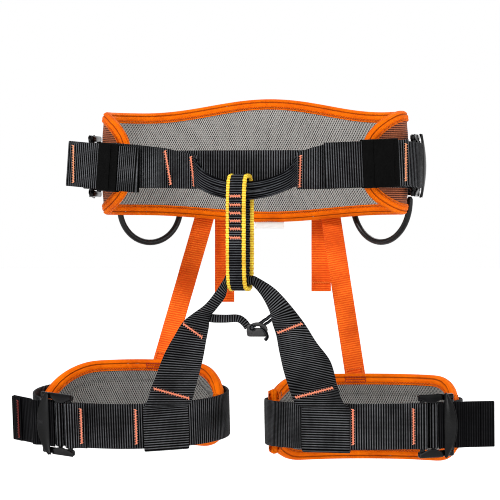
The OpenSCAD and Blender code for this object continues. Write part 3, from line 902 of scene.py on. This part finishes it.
for word, s in SIDES.items():
    body = f"leg_loop_{word}"
    pad = Pad(LEG_O, LEG_H, -11, 191, partial(from_leg, s), partial(to_leg, s), partial(leg_outline, s))
    build_pad(f"leg_pad_{word}", pad, body, pad_nodes("leg_pad", f"_{word}"), [LEG_LINING_PAINTED_SHADE, OUTER], leg_channel)
    bind(f"leg_pad_edge_{word}", pad, body, f"leg_pad_binding_{word}")
    path, outs = [], []
    for p, e in outline_frames(pad):
        q = p - CHANNEL_IN * e
        path.append(pad.point(q.x, q.y, -PAD_T / 2 - pad_depth(CHANNEL_IN) / 2 - 0.6))
        outs.append((path[-1] - pad.middle(q)).normalized())
    line = Shape()
    stitches(line, path + path[:1], outs + outs[:1], 3.6, 2.7, 0.32)
    line.make(f"leg_pad_channel_{word}", GREY_THREAD, body, "pad_lining")
    foot = Shape()
    t = -PAD_T / 2 - pad_depth(4) / 2 - 1.1
    corners = [leg(s, a, t, z) for a, z in ((94, 39.5), (107, 39.5), (107, 34.5), (94, 34.5))]
    lines = closed_pairs(corners)
    lines.append((corners[0].lerp(corners[3], 0.5), corners[1].lerp(corners[2], 0.5)))
    for p, q in lines:
        tack(foot, p, q, FRONT, 1.1, 0, 0.28)
    foot.make(f"riser_foot_stitches_{word}", RED_THREAD, body, "binding")

# ---------------------------------------------------------------- waist webbing


def between(stops, x):
    """Value at x of the line through the (place, value) stops, level beyond its ends."""
    xs, ys = zip(*stops)
    return interpolate(xs, ys, min(max(x, xs[0]), xs[-1]))


def ring_rows(at, a0, a1, t, z0, z1, step=2.5):
    """Edge rows of webbing standing on edge along a ring; an edge's height may be given as stops along it."""
    n = max(2, round(abs(a1 - a0) / step))
    rows = []
    for i in range(n + 1):
        a = a0 + (a1 - a0) * i / n
        low, high = (between(z, a) if isinstance(z, list) else z for z in (z0, z1))
        rows.append([at(a, t, low), at(a, t, high)])
    return rows


def ring_tack(shape, at, t, p, q, mat=1, width=2.4):
    """Bar tack on webbing on a ring, between two (angle, height) points."""
    a, b = at(p[0], t, p[1]), at(q[0], t, q[1])
    tack(shape, a, b, (at(p[0], t + 1, p[1]) - a).normalized(), width, mat)


rows = ring_rows(partial(waist, LEFT), -2, 182, BELT_OUT + WEB_T / 2, -WEB_HALF, WEB_HALF)
back = Shape().band(rows, WEB_T, wave=0.35)
back.make("waist_back_webbing", BLACK, "waist", "webbing_black", ["waist_back_belt"])
rows = ring_rows(partial(waist, LEFT), 240, 300, BELT_OUT + WEB_T / 2, -22, 14)
front = Shape().band(rows, WEB_T, wave=0.4, seed=3)
front.make("front_band_webbing", BLACK, "waist", "webbing_black", ["front_band"])


BRIDGE_X, BRIDGE_HALF = 7.5, 48.5


def sag(x):
    """Sag of the tie-in bridge, 0 at its sewn ends and 1 in its middle."""
    return 1 - abs((x - BRIDGE_X) / BRIDGE_HALF) ** 2.2


bridge = Shape()
rows = []
for i in range(45):
    x = BRIDGE_X + BRIDGE_HALF * (i / 22 - 1) * 1.03
    k = max(0.0, sag(min(max(x, BRIDGE_X - BRIDGE_HALF), BRIDGE_X + BRIDGE_HALF)))
    end = max(0.0, BRIDGE_HALF * 1.03 - abs(x - BRIDGE_X))
    y = -91.5 - 17 * k + 1.4 * math.exp(-end / 2)
    rows.append([Vector((x, y, -22 - 13 * k)), Vector((x, y, -2 - 15 * k + 10 * math.exp(-end / 3.2)))])
bridge.band(rows, 5.2)
for low, high in ((0.04, 0.5), (0.46, 0.97)):
    ply = [[a.lerp(b, k) + 2.3 * FRONT for k in (low, high)] for a, b in rows]
    bridge.band(ply, 1.6, crown=0.9, wave=0.3, seed=low)
bridge.make("tie_in_webbing", BLACK_LINES, "waist", "webbing_black", ["tie_in_bridge"])

# Front belts: where each starts, and its edges and bar tacks as (angle, height)
TIE_A = {LEFT: -68.5, RIGHT: -75}
TIE_LOW = {
    LEFT: [(-69, -24.5), (-56, -24), (-40, -22.5)],
    RIGHT: [(-75, -24), (-62, -23), (-40, -22.5)],
}
TIE_HIGH = {
    LEFT: [(-69, 11), (-63, 16.5), (-56, 21), (-40, 22.5)],
    RIGHT: [(-75, 9), (-62, 16.5), (-49, 20), (-35, 22.5)],
}
TIE_TACKS = {
    LEFT: [((-67.2, 9), (-67.6, -22.5))],
    RIGHT: [((-62.1, 14), (-64.6, -19.6)), ((-72.6, 8), (-74.0, -21.5))],
}
# Folded tails: plan points of the fold and the hem, rise in degrees, length of the inner ply
FOLD = {LEFT: Vector((86, -86)), RIGHT: Vector((104, -78))}
HEM = {LEFT: Vector((164, -50)), RIGHT: Vector((181, -43))}
LIFT = {LEFT: 2.5, RIGHT: 5}
TAIL_GAP, TAIL_INNER, HEM_Z = 1.6, {LEFT: 75, RIGHT: 62}, 2.5
# Start and end of each keeper, and the tail's bar tack, as lengths from the hem
KEEPER = {LEFT: (11, 48), RIGHT: (38, 62)}
HEM_TACK = {LEFT: 4, RIGHT: 8}


def arc_rows(place, x, r, q0, q1, w):
    """Rows of webbing turned about a buckle's bar at x, from angle q0 to q1."""
    rows = []
    for i in range(15):
        q = math.radians(q0 + (q1 - q0) * i / 14)
        rows.append([place((x + r * math.cos(q), r * math.sin(q), z)) for z in (-w / 2, w / 2)])
    return rows


def hem_band(shape, ends, out, across):
    """The turned-under ply of a hem, lying 2.1 outwards of the webbing's middle."""
    rows = rows_along(rounded_path([p + out * 2.1 for p in ends], []), across, WEB_W - 0.8)
    shape.band(rows, 1.9)


for word, s in SIDES.items():
    place = buckle_space(s, "waist")
    at = partial(waist, s)
    t = BELT_OUT + 1.5 * WEB_T + 0.1
    belt = Shape()
    rows = ring_rows(at, TIE_A[s], BUCKLE_A - 10, t, TIE_LOW[s], TIE_HIGH[s])
    belt.band(rows, WEB_T, wave=0.5, seed=5 + s)
    belt.band(arc_rows(place, -BAR_X, 3.8, 100, -100, WEB_W), WEB_T)
    for p, q in TIE_TACKS[s]:
        ring_tack(belt, at, t + WEB_T / 2 + 0.1, p, q)
    belt.make(f"front_belt_webbing_{word}", [BLACK, SALMON], "waist", "webbing_black", [f"front_belt_{word}"])

    d = (HEM[s] - FOLD[s]).normalized()
    back_by = (WEB_T + TAIL_GAP) * Vector((-d.y, d.x))
    drop = math.sin(math.radians(LIFT[s]))
    length = (HEM[s] - FOLD[s]).length
    low = HEM_Z - drop * length

    def spot(p, z, s=s):
        return Vector((s * p.x, p.y, z))

    turn = FOLD[s] + back_by + TAIL_INNER[s] * d
    run = [spot(HEM[s], HEM_Z), spot(FOLD[s], low), spot(FOLD[s] + back_by, low)]
    run += [spot(turn, low + drop * TAIL_INNER[s]), spot(Vector((169.2, -22)), 0), spot(Vector((169.2, -1)), 0)]
    path = rounded_path(run, [1.9, 1.9, 25, 25])
    tail = Shape().band(rows_along(path, UP, WEB_W), WEB_T, wave=0.35, seed=8 + s)
    hem = [spot(HEM[s] - 0.5 * d, HEM_Z), spot(HEM[s] - 14 * d, HEM_Z - 14 * drop)]
    out = Vector((s * d.y, -d.x, 0))
    hem_band(tail, hem, -out, UP)
    across = (UP - UP.dot(d.to_3d()) * d.to_3d()).normalized()
    at_tack = spot(HEM[s] - HEM_TACK[s] * d, HEM_Z - HEM_TACK[s] * drop) + out * (WEB_T / 2 + 0.25)
    tack(tail, at_tack - across * 18.5, at_tack + across * 18.5, out, 2.0, 1)
    tail.make(f"waist_tail_webbing_{word}", [BLACK, PALE], "waist", "webbing_black", [f"waist_tail_{word}"])

    k0, k1 = KEEPER[s]
    mid = HEM[s] + back_by / 2
    along = Vector((-s * d.x, -d.y, -drop)).normalized()
    high = (UP - UP.dot(along) * along).normalized()
    centre = spot(mid, HEM_Z) + along * (k0 + k1) / 2
    deep, tall = (2 * WEB_T + TAIL_GAP + 1) / 2 + 0.5, WEB_W / 2 + 0.9
    signs = ((0, 1), (1, 1), (1, -1), (-1, -1), (-1, 1), (0, 1))
    corners = [centre + out * x * deep + high * z * tall for x, z in signs]
    loop = rounded_path(corners, [2.2] * 4)[:-1]
    keeper = Shape().band(rows_along(loop, along, k1 - k0, closed=True), 1.1, closed=True)
    second = [centre + out * (deep + 1.0) - along * 3 + high * z * tall for z in (0.98, -0.98)]
    keeper.band(rows_along(rounded_path(second, []), along, (k1 - k0) * 0.55), 1.0)
    keeper.make(f"waist_keeper_elastic_{word}", ELASTIC, "waist", "elastic", [f"waist_keeper_{word}"])

# ---------------------------------------------------------------- buckles


def coat(node_name, material):
    """Gives the material to a CAD node that stays in view."""
    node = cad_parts[node_name]
    node.data.materials.clear()
    node.data.materials.append(material)
    return node


def buckle(word, s, where, body):
    """A pressed frame with a bowed cover plate and spoon-shaped rails, and the webbing round its locking bar."""
    place = buckle_space(s, where)
    shape = Shape()
    for z in (-1, 1):
        shape.box(place, (-1, 0.4, z * (RAIL_Z + 3.1)), (41, 4.2, 6.2), 1.9)
        lip = []
        for i in range(19):
            k = math.sin(math.pi * i / 18)
            x = -21 + 26.5 * i / 18
            lip.append([place((x, -2.6 - 1.6 * k, z * (26.6 - 4.2 * k))), place((x, -1.6, z * 31))])
        shape.band(lip, 1.3, crown=0.5)
    for x in (-BAR_X, BAR_X):
        shape.tube([place((x, 0, z)) for z in range(-25, 26, 5)], BAR_R, sides=16)
    plate, rim = [], []
    for i in range(33):
        k = i / 16 - 1
        bulge = 1 - k * k
        z = 31.3 * k
        inner = place((4.6 + 1.6 * (1 - bulge), -4.6 - 1.6 * bulge, z))
        plate.append([inner, place((8.5 + 10 * bulge**0.8, -3.6 - 3.8 * bulge, z))])
        rim.append(place((8.7 + 10 * bulge**0.8, -3.4 - 3.9 * bulge, z)))
    shape.band(plate, 1.7, crown=1.0)
    shape.tube(rim, 0.95, sides=10)
    nodes = [f"{where}_buckle_frame_{word}"]
    shape.make(f"{where}_buckle_{word}", METAL, body, "buckle_metal", nodes, angle=50)
    roll = Shape().band(arc_rows(place, LOCK_X, 3.6, -175, 130, WEB_W - 1), WEB_T)
    roll.make(f"{where}_lock_roll_{word}", BLACK, f"{where}_buckle_bar_{word}", "webbing_black")
    coat(f"{where}_buckle_bar_{word}", METAL)


for word, s in SIDES.items():
    buckle(word, s, "waist", "waist")
    buckle(word, s, "leg", f"leg_loop_{word}")

# ---------------------------------------------------------------- gear loops

GEAR_TOP = -33
GEAR = {LEFT: (Vector((152, 38)), Vector((86, 90)), -34), RIGHT: (Vector((146, 46)), Vector((92, 88)), -42)}
for word, s in SIDES.items():
    p0, p1, gear_z = GEAR[s]
    d = (p1 - p0) / 2
    mid = (p0 + p1) / 2
    pts = [Vector((s * p0.x, p0.y, GEAR_TOP))]
    for i in range(33):
        q = math.pi * i / 32
        p = mid - d * math.cos(q)
        pts.append(Vector((s * p.x, p.y, gear_z - d.length * math.sin(q))))
    pts.append(Vector((s * p1.x, p1.y, GEAR_TOP)))
    ends = [pts[0] + 2.6 * UP] + pts + [pts[-1] + 2.6 * UP]
    gear = Shape().tube(ends, lambda k: 3.0 if 0.005 < k < 0.995 else 1.6, sides=16)
    gear.make(f"gear_tube_{word}", TUBE, f"gear_loop_{word}", "tube", [f"gear_loop_{word}"])
    tabs = Shape()
    for p in (p0, p1):
        t = Vector((s * -p.y * WAIST_H.x / WAIST_H.y, p.x * WAIST_H.y / WAIST_H.x, 0)).normalized()
        c = Vector((s * p.x, p.y, -21.5))
        tabs.band([[c - 6 * t + z * UP, c + 6 * t + z * UP] for z in (-7.6, 7.8)], 2.8)
    tabs.make(f"gear_tab_webbing_{word}", BLACK, "waist", "webbing_black", [f"gear_tabs_{word}"])

# ---------------------------------------------------------------- belay loop

BELAY_O, BELAY_TWIST = Vector((5, FRONT_Y, -66.8)), math.radians(-8)
BELAY_TALL, BELAY_DEEP, BELAY_CORD = 55.3, 13, 8.1
BELAY_X = Vector((math.cos(BELAY_TWIST), math.sin(BELAY_TWIST), 0))
BELAY_Y = Vector((-math.sin(BELAY_TWIST), math.cos(BELAY_TWIST), 0))


def power(v, k):
    """v to the power k, with v's sign."""
    return math.copysign(abs(v) ** k, v)


def belay_path():
    """Squared ellipse in the loop's own plane."""
    pts = []
    for i in range(96):
        a = 2 * math.pi * i / 96
        c, d = power(math.cos(a), 0.5), power(math.sin(a), 0.5)
        pts.append(BELAY_O + UP * BELAY_TALL * c + BELAY_Y * BELAY_DEEP * d)
    return pts


def even(points, step):
    """The closed path with points evenly spaced."""
    loop = points + points[:1]
    gone = lengths(loop)
    n = round(gone[-1] / step)
    return [interpolate(gone, loop, gone[-1] * k / n) for k in range(n)]


belay = Shape().band(rows_along(even(belay_path(), 1.6), BELAY_X, 15, closed=True), 3.4, closed=True)
for x in (-BELAY_CORD, BELAY_CORD):
    cord = [p + BELAY_X * x for p in even(belay_path(), 0.6)]
    belay.tube(cord, 2.1, 1, sides=12, closed=True, lobes=2, depth=0.22, lay=4.8)
for z in (-31.4, -39.9, -48, -55.6, -63.3, -72):
    c = BELAY_O + UP * (z - BELAY_O.z) - BELAY_Y * 14.8
    tack(belay, c - BELAY_X * 5.4, c + BELAY_X * 5.4, -BELAY_Y, 2.4, 2, 0.45)
belay.make("belay_loop_webbing", [BELAY, YELLOW, SALMON], "belay_loop", "belay_webbing", ["belay_loop"], angle=50)

# ---------------------------------------------------------------- risers

RISER_Y = 98.6
LOCK_AT = {LEFT: 54, RIGHT: 58}
RISER_TOP = {LEFT: Vector((60, RISER_Y, -38)), RIGHT: Vector((65, RISER_Y, -38))}
RISER_FOOT = {LEFT: Vector((99, 27, -214)), RIGHT: Vector((99, 27, -199))}
TAIL_X, TAIL_Y, TAIL_LEN = {LEFT: 51, RIGHT: 49}, 105.4, {LEFT: 90, RIGHT: 101}


def mirrored(s, p):
    """A point given for the left side, on side s."""
    return Vector((s * p[0], p[1], p[2]))


def blend(ob, word, start, end):
    """Bakes the object's placement into its mesh; word, start and end are not used."""
    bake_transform(ob)


for word, s in SIDES.items():
    bevel = coat(f"riser_lock_{word}", LOCK).modifiers.new("soft_edges", "BEVEL")
    bevel.width, bevel.segments, bevel.limit_method = 0.9 * MM, 2, "ANGLE"
    sides = (LOCK_AT[s] - RISER_W / 2, LOCK_AT[s] + RISER_W / 2)
    anchor = Shape().band([[mirrored(s, (x, RISER_Y, z)) for x in sides] for z in range(-30, 1, 3)], RISER_T)
    anchor.make(f"riser_anchor_webbing_{word}", BLACK, "waist", "webbing_black", [f"riser_anchor_{word}"])

    top, foot = RISER_TOP[s], RISER_FOOT[s]
    path = [mirrored(s, top.lerp(foot, i / 90)) for i in range(91)]
    down = (path[-1] - path[0]).normalized()
    across = Vector((1, 0, 0))
    rows = rows_along(path, across, RISER_W)
    riser = Shape().band(rows, RISER_T, wave=0.5, seed=2 + s)
    x_dir = (rows[-1][1] - rows[-1][0]).normalized()
    out = x_dir.cross(down).normalized()
    if out.y > 0:
        out = -out
    box = [path[-1] - down * a + x_dir * b + out for a, b in ((2, -8), (2, 8), (11, 8), (11, -8))]
    for a, b in closed_pairs(box):
        tack(riser, a, b, out, 1.2, 1, 0.3)
    ob = riser.make(f"riser_webbing_{word}", [ORANGE, SEAM], None, "webbing_orange", [f"riser_{word}"])
    blend(ob, word, mirrored(s, top), mirrored(s, foot))

    free = [mirrored(s, (TAIL_X[s], TAIL_Y, -36 - TAIL_LEN[s] * i / 40)) for i in range(41)]
    tail = Shape().band(rows_along(free, across, RISER_W), RISER_T, wave=0.3, seed=4 + s)
    tail.band(rows_along([p + 0.9 * FRONT for p in free[-5:]], across, RISER_W - 0.6), 1.5)
    line = free[-5] + 1.75 * FRONT
    tack(tail, line - across * 8.8, line + across * 8.8, FRONT, 1.6, 1, 0.34)
    node = f"riser_tail_{word}"
    tail.make(f"riser_tail_webbing_{word}", [ORANGE, SEAM], node, "webbing_orange", [node])

# ---------------------------------------------------------------- leg bridge

pts = [Vector((BELAY_O.x, FRONT_Y, -113.8)) + BELAY_X * (14.5 * (i / 10 - 1)) for i in range(21)]
roll = Shape().tube(pts, 4.9, sides=24, lobes=2, depth=0.25, lay=60)
roll.make("leg_bridge_roll", BLACK, "waist", "webbing_black", ["leg_bridge_centre"])

# Edges of each half seen from the front, from the roll to the leg belt, as (distance from the middle, height)
BRIDGE_OUTER = {
    LEFT: [
        *((20, -109.5), (29, -114.5), (39.5, -121.5), (51, -133), (68, -154)),
        *((81, -174), (95, -193), (102, -218), (107, -232)),
    ],
    RIGHT: [
        *((9, -109.5), (18, -123.5), (29, -137), (42.5, -147), (51.5, -154.5)),
        *((60, -168), (70, -186), (80, -211), (87.5, -232)),
    ],
}
BRIDGE_INNER = {
    LEFT: [
        *((18, -119), (23, -124), (29, -132.5), (35, -145), (37.5, -156)),
        *((41.2, -168), (44, -184), (49, -206), (58, -232)),
    ],
    RIGHT: [
        *((7, -119), (9.5, -130), (18.5, -142), (24.8, -150), (26, -160)),
        *((28.5, -172), (32, -190), (37.5, -211), (44, -232)),
    ],
}
BRIDGE_TACKS = {
    LEFT: [((42.5, -165.6), (67.4, -156.5)), ((59.8, -228), (97, -218))],
    RIGHT: [((31.5, -169), (51, -156.5)), ((45.5, -230), (80, -220))],
}
HALF_Y = -109.3
# Ring angles of its outer and inner edge on the leg belt
BRIDGE_A = {LEFT: (268, 238), RIGHT: (255, 227)}


def on_rows(rows, x, z):
    """The point between two edges that lies nearest in the XZ plane."""
    points = (a.lerp(b, j / 32) for a, b in rows for j in range(33))
    return min(points, key=lambda p: (p.x - x) ** 2 + (p.z - z) ** 2)


for word, s in SIDES.items():
    rows = []
    a_out, a_in = BRIDGE_A[s]
    for i, (o, n) in enumerate(zip(BRIDGE_OUTER[s], BRIDGE_INNER[s])):
        ease = (i / (len(BRIDGE_OUTER[s]) - 1)) ** 3
        rows.append([mirrored(s, (o[0], HALF_Y, o[1])), mirrored(s, (n[0], HALF_Y + 6 * ease, n[1]))])
    front = spline(rows, 2.0)
    t_out = BELT_OUT + WEB_T + 0.5 + WEB_T / 2
    t_in = BELT_OUT - 0.5 - WEB_T / 2
    wrap = [(t_out, z) for z in (18, 6, -6, -18, -WEB_HALF)]
    fold = (t_out - t_in) / 2
    for q in (30, 60, 90, 120, 150):
        q = math.radians(q)
        wrap.append(((t_out + t_in) / 2 + fold * math.cos(q), -WEB_HALF - fold * math.sin(q) * 0.8))
    wrap += [(t_in, z) for z in (-WEB_HALF, -12, 0, 12, WEB_HALF)]
    rows += [[leg(s, a, t, z) for a in (a_out, a_in)] for t, z in wrap]
    half = Shape()
    half.band(spline(rows, 2.0), lambda g: WEB_T + 5.5 * max(0.0, 1 - g / 60), wave=0.35, seed=7 + s)
    for line in BRIDGE_TACKS[s]:
        ends = [on_rows(front, s * x, z) + 1.45 * FRONT for x, z in line]
        tack(half, *ends, FRONT, 2.4, 1)
    ob = half.make(f"leg_bridge_webbing_{word}", [BLACK, SALMON], None, "webbing_black", [f"leg_bridge_{word}"])
    blend(ob, word, mirrored(s, (15, -109, -114)), mirrored(s, (82, -109, -225)))

# ---------------------------------------------------------------- spreader


def front_curve(points, step):
    """Smooth curve through (x, z) points in the plane of the belay loop."""
    return curve([Vector((x, FRONT_Y, z)) for x, z in points], step)


def strands(shape, path, r, depth=0.15, mat=0, sides=12):
    """A thin cord of three strands."""
    shape.tube(path, r, mat, sides=sides, lobes=3, depth=depth, lay=6)


run = front_curve(((-29, -146.5), (-24, -150.5), (-10, -151.2), (3, -151), (9.5, -155), (13, -160)), 1.5)
spread = Shape().band(rows_along(run, Vector((0.2, 0.25, 1)), lambda i: 8.6 - 0.05 * i), 1.8, wave=0.5)
ob = spread.make("spreader_webbing", BLACK, None, "webbing_black", ["spreader_strap"])
blend(ob, "right", Vector((13, FRONT_Y, -160)), Vector((-142.6, FRONT_Y, -110)))


def at_lock(p):
    return Vector((22 + p[0], FRONT_Y + p[1], -163 + p[2]))


lock = Shape()
lock.box(at_lock, (0, 0, -1.5), (20, 6, 8.5), 2.6)
lock.box(at_lock, (-6.5, -0.8, 1.5), (7, 6.5, 10), 2.4)
turns = [math.pi * (0.95 - 1.25 * i / 16) for i in range(17)]
hook = [at_lock((8 * math.cos(q) + 1, -0.5, 5.4 * math.sin(q) + 1)) for q in turns]
lock.tube(hook, lambda k: 2.1 - 0.5 * k, sides=10)
turns = [2 * math.pi * i / 12 for i in range(13)]
ball = [at_lock((-4 + 1.2 * math.cos(q), -2.6, 3 + 1.2 * math.sin(q))) for q in turns]
strands(lock, ball, 2.2, 0.2, 1, 10)
tip = curve([at_lock(p) for p in ((5, -1.5, 2), (9, -2.5, -1), (10.5, -2.5, -6), (8.5, -2, -9))], 1.2)
strands(lock, tip, 1.7, 0.15, 1, 10)
lock.make("spreader_hook", [LOCK, BLACK_LINES], "waist", "lock_plastic", ["spreader_lock"])

points = ((24, 0, -156.5), (29, -0.6, -153), (34, 0, -149.5), (38, 0, -146))
cord = curve([Vector((x, FRONT_Y + y, z)) for x, y, z in points], 1.0)
knot = Shape()
strands(knot, cord, 1.6)
strands(knot, [p + Vector((1.5, 0.6, -3.4)) for p in cord], 1.4)
ob = knot.make("spreader_cord_end", BLACK_LINES, None, "cord", ["spreader_cord"])
blend(ob, "left", Vector((24, FRONT_Y, -156.5)), Vector((70.2, FRONT_Y, -121.8)))

# ---------------------------------------------------------------- leg belts and tails

# (ring angle, plies under the tack)
LEG_TACKS = {LEFT: ((270, 1), (305.5, 2)), RIGHT: ((292, 2), (259.5, 1))}
TAIL_TURN, TAIL_OUT = {LEFT: -22, RIGHT: 10}, 35  # how far each tail turns behind its bar, and its length
for word, s in SIDES.items():
    place = buckle_space(s, "leg")
    at = partial(leg, s)
    body = f"leg_loop_{word}"
    belt = Shape()
    a = LEG_BUCKLE_A[s]
    rows = ring_rows(at, a - 8, 348 + a, BELT_OUT + WEB_T / 2, -WEB_HALF, WEB_HALF)
    belt.band(rows, WEB_T, wave=0.4, seed=11 + s)
    turned = arc_rows(place, -BAR_X, 4.1, 100, -80, WEB_W)
    laid = ((13.2, 9), (15, 6), (17, 5.1), (21, 5))
    turned += [[at(a - b, t, z) for z in (-WEB_HALF, WEB_HALF)] for b, t in laid]
    belt.band(spline(turned, 1.6), WEB_T, wave=0.3, seed=17 + s)
    for b, up in LEG_TACKS[s]:
        ring_tack(belt, at, BELT_OUT + WEB_T * up + 0.3, (b, -17.5), (b, 17.5))
    belt.make(f"leg_belt_webbing_{word}", [BLACK, SALMON], body, "webbing_black", [f"leg_belt_{word}"])
    turn = math.radians(TAIL_TURN[s])
    bends = [(0, -4.0), (17, -4.0), (22, -6.6), (26, -6.6)]
    bends += [(23 + 7 * math.cos(turn), -3.6 + 7 * math.sin(turn))]
    bends += [(23 + TAIL_OUT * math.cos(turn), -4.0 + TAIL_OUT * math.sin(turn))]
    path = rounded_path([place((*b, 0)) for b in bends], [5, 3, 3, 5])
    up = place((0, 0, 1)) - place((0, 0, 0))
    tail = Shape().band(rows_along(path, up, WEB_W), WEB_T, wave=0.35, seed=13 + s)
    along = (path[-1] - path[-2]).normalized()
    out = (place((0, -1, 0)) - place((0, 0, 0))).normalized()
    out = (out - out.dot(along) * along).normalized()
    hem_band(tail, [path[-1] - along * 13, path[-1]], out, up)
    if s == RIGHT:
        line = path[-1] - along * 10 + out * 3.3
        tack(tail, line - up * 19, line + up * 19, out, 2.0, 1)
    # The leg tails take the darker copies of webbing and tack thread as painted shade.
    tail.make(f"leg_tail_webbing_{word}", [BLACK_PAINTED_SHADE, TAIL_TACK_PAINTED_SHADE], body, "webbing_black", [f"leg_tail_{word}"])

# ---------------------------------------------------------------- label

rows = [[Vector((x, 90.5, z)) for z in (-62, -55)] for x in range(-15, 16, 3)]
label = Shape().band(rows, 0.8, wave=0.3)
label.make("care_label_cloth", LABEL, "waist", "label", ["care_label"])

# ---------------------------------------------------------------- stage, light and camera


FLOOR_Z, FLOOR_HALF = -0.42, 80.0


def smooth_range(tree, value, *limits):
    """A value mapped smoothly from the first two limits to the last two."""
    node = tree.nodes.new("ShaderNodeMapRange")
    node.interpolation_type = "SMOOTHSTEP"
    tree.links.new(value, node.inputs[0])
    for socket, limit in zip(node.inputs[1:5], limits):
        socket.default_value = limit
    return node.outputs[0]


def floor_paper(near, far, glow):
    """White paper that brightens into an even glow far from the object."""
    m = Nodes("floor_paper")
    away = m.tree.nodes.new("ShaderNodeVectorMath")
    away.operation = "LENGTH"
    m.put(away.inputs[0], m.tree.nodes.new("ShaderNodeTexCoord").outputs["Object"])
    m.put(m.bsdf.inputs["Emission Color"], (1, 1, 1, 1))
    m.put(m.bsdf.inputs["Emission Strength"], smooth_range(m.tree, away.outputs["Value"], near, far, 0.0, glow))
    tone = m.mix(m.noise(2, 2), (0.92, 0.92, 0.92, 1), (0.96, 0.96, 0.96, 1))
    return m.finish(tone, 0.9)


mesh = bpy.data.meshes.new("floor")
corners = [(x * FLOOR_HALF, y * FLOOR_HALF, FLOOR_Z) for x, y in ((-1, -1), (1, -1), (1, 1), (-1, 1))]
mesh.from_pydata(corners, [], [(0, 1, 2, 3)])
floor = bpy.data.objects.new("floor", mesh)
bpy.context.scene.collection.objects.link(floor)
mesh.materials.append(floor_paper(0.9, 2.2, 0.6))

# The sky is brighter near the horizon, which keeps the background white behind a softly lit object.
world = bpy.data.worlds.new("studio")
bpy.context.scene.world = world
world.use_nodes = True
sky = world.node_tree
up_part = sky.nodes.new("ShaderNodeSeparateXYZ")
sky.links.new(sky.nodes.new("ShaderNodeTexCoord").outputs["Generated"], up_part.inputs[0])
sky.nodes["Background"].inputs[0].default_value = (1, 1, 1, 1)
sky.links.new(smooth_range(sky, up_part.outputs[2], 0.1, 0.4, 1.0, 0.5), sky.nodes["Background"].inputs[1])
bpy.context.scene.view_settings.view_transform = "Standard"
bpy.context.scene.cycles.filter_width = 1.0


def area(name, at, look, size, watts):
    light = bpy.data.lights.new(name, "AREA")
    light.shape, light.size, light.size_y = "RECTANGLE", size[0], size[1]
    light.energy = watts
    ob = bpy.data.objects.new(name, light)
    ob.location = at
    ob.rotation_euler = (Vector(look) - Vector(at)).to_track_quat("-Z", "Y").to_euler()
    bpy.context.scene.collection.objects.link(ob)


area("key", (-1.2, -1.6, 1.5), (0, 0, -0.1), (0.8, 0.8), 42)
area("fill", (1.7, -1.4, 0.5), (0, 0, -0.1), (0.7, 1.4), 18)
area("rim", (0.2, 1.6, 1.2), (0, 0, -0.1), (1.4, 0.8), 16)

AZ = math.radians(10)
RIGHT_OF_VIEW = Vector((math.cos(AZ), math.sin(AZ), 0))
TOWARDS = Vector((-math.sin(AZ), math.cos(AZ), 0))
CAMERA_FAR = 5
target = RIGHT_OF_VIEW * -0.004 + UP * -0.084
cam = bpy.data.cameras.new("camera")
cam.lens, cam.sensor_width = 360, 36
eye = bpy.data.objects.new("camera", cam)
eye.location = target - TOWARDS * CAMERA_FAR
eye.rotation_euler = TOWARDS.to_track_quat("-Z", "Y").to_euler()
bpy.context.scene.collection.objects.link(eye)
bpy.context.scene.camera = eye
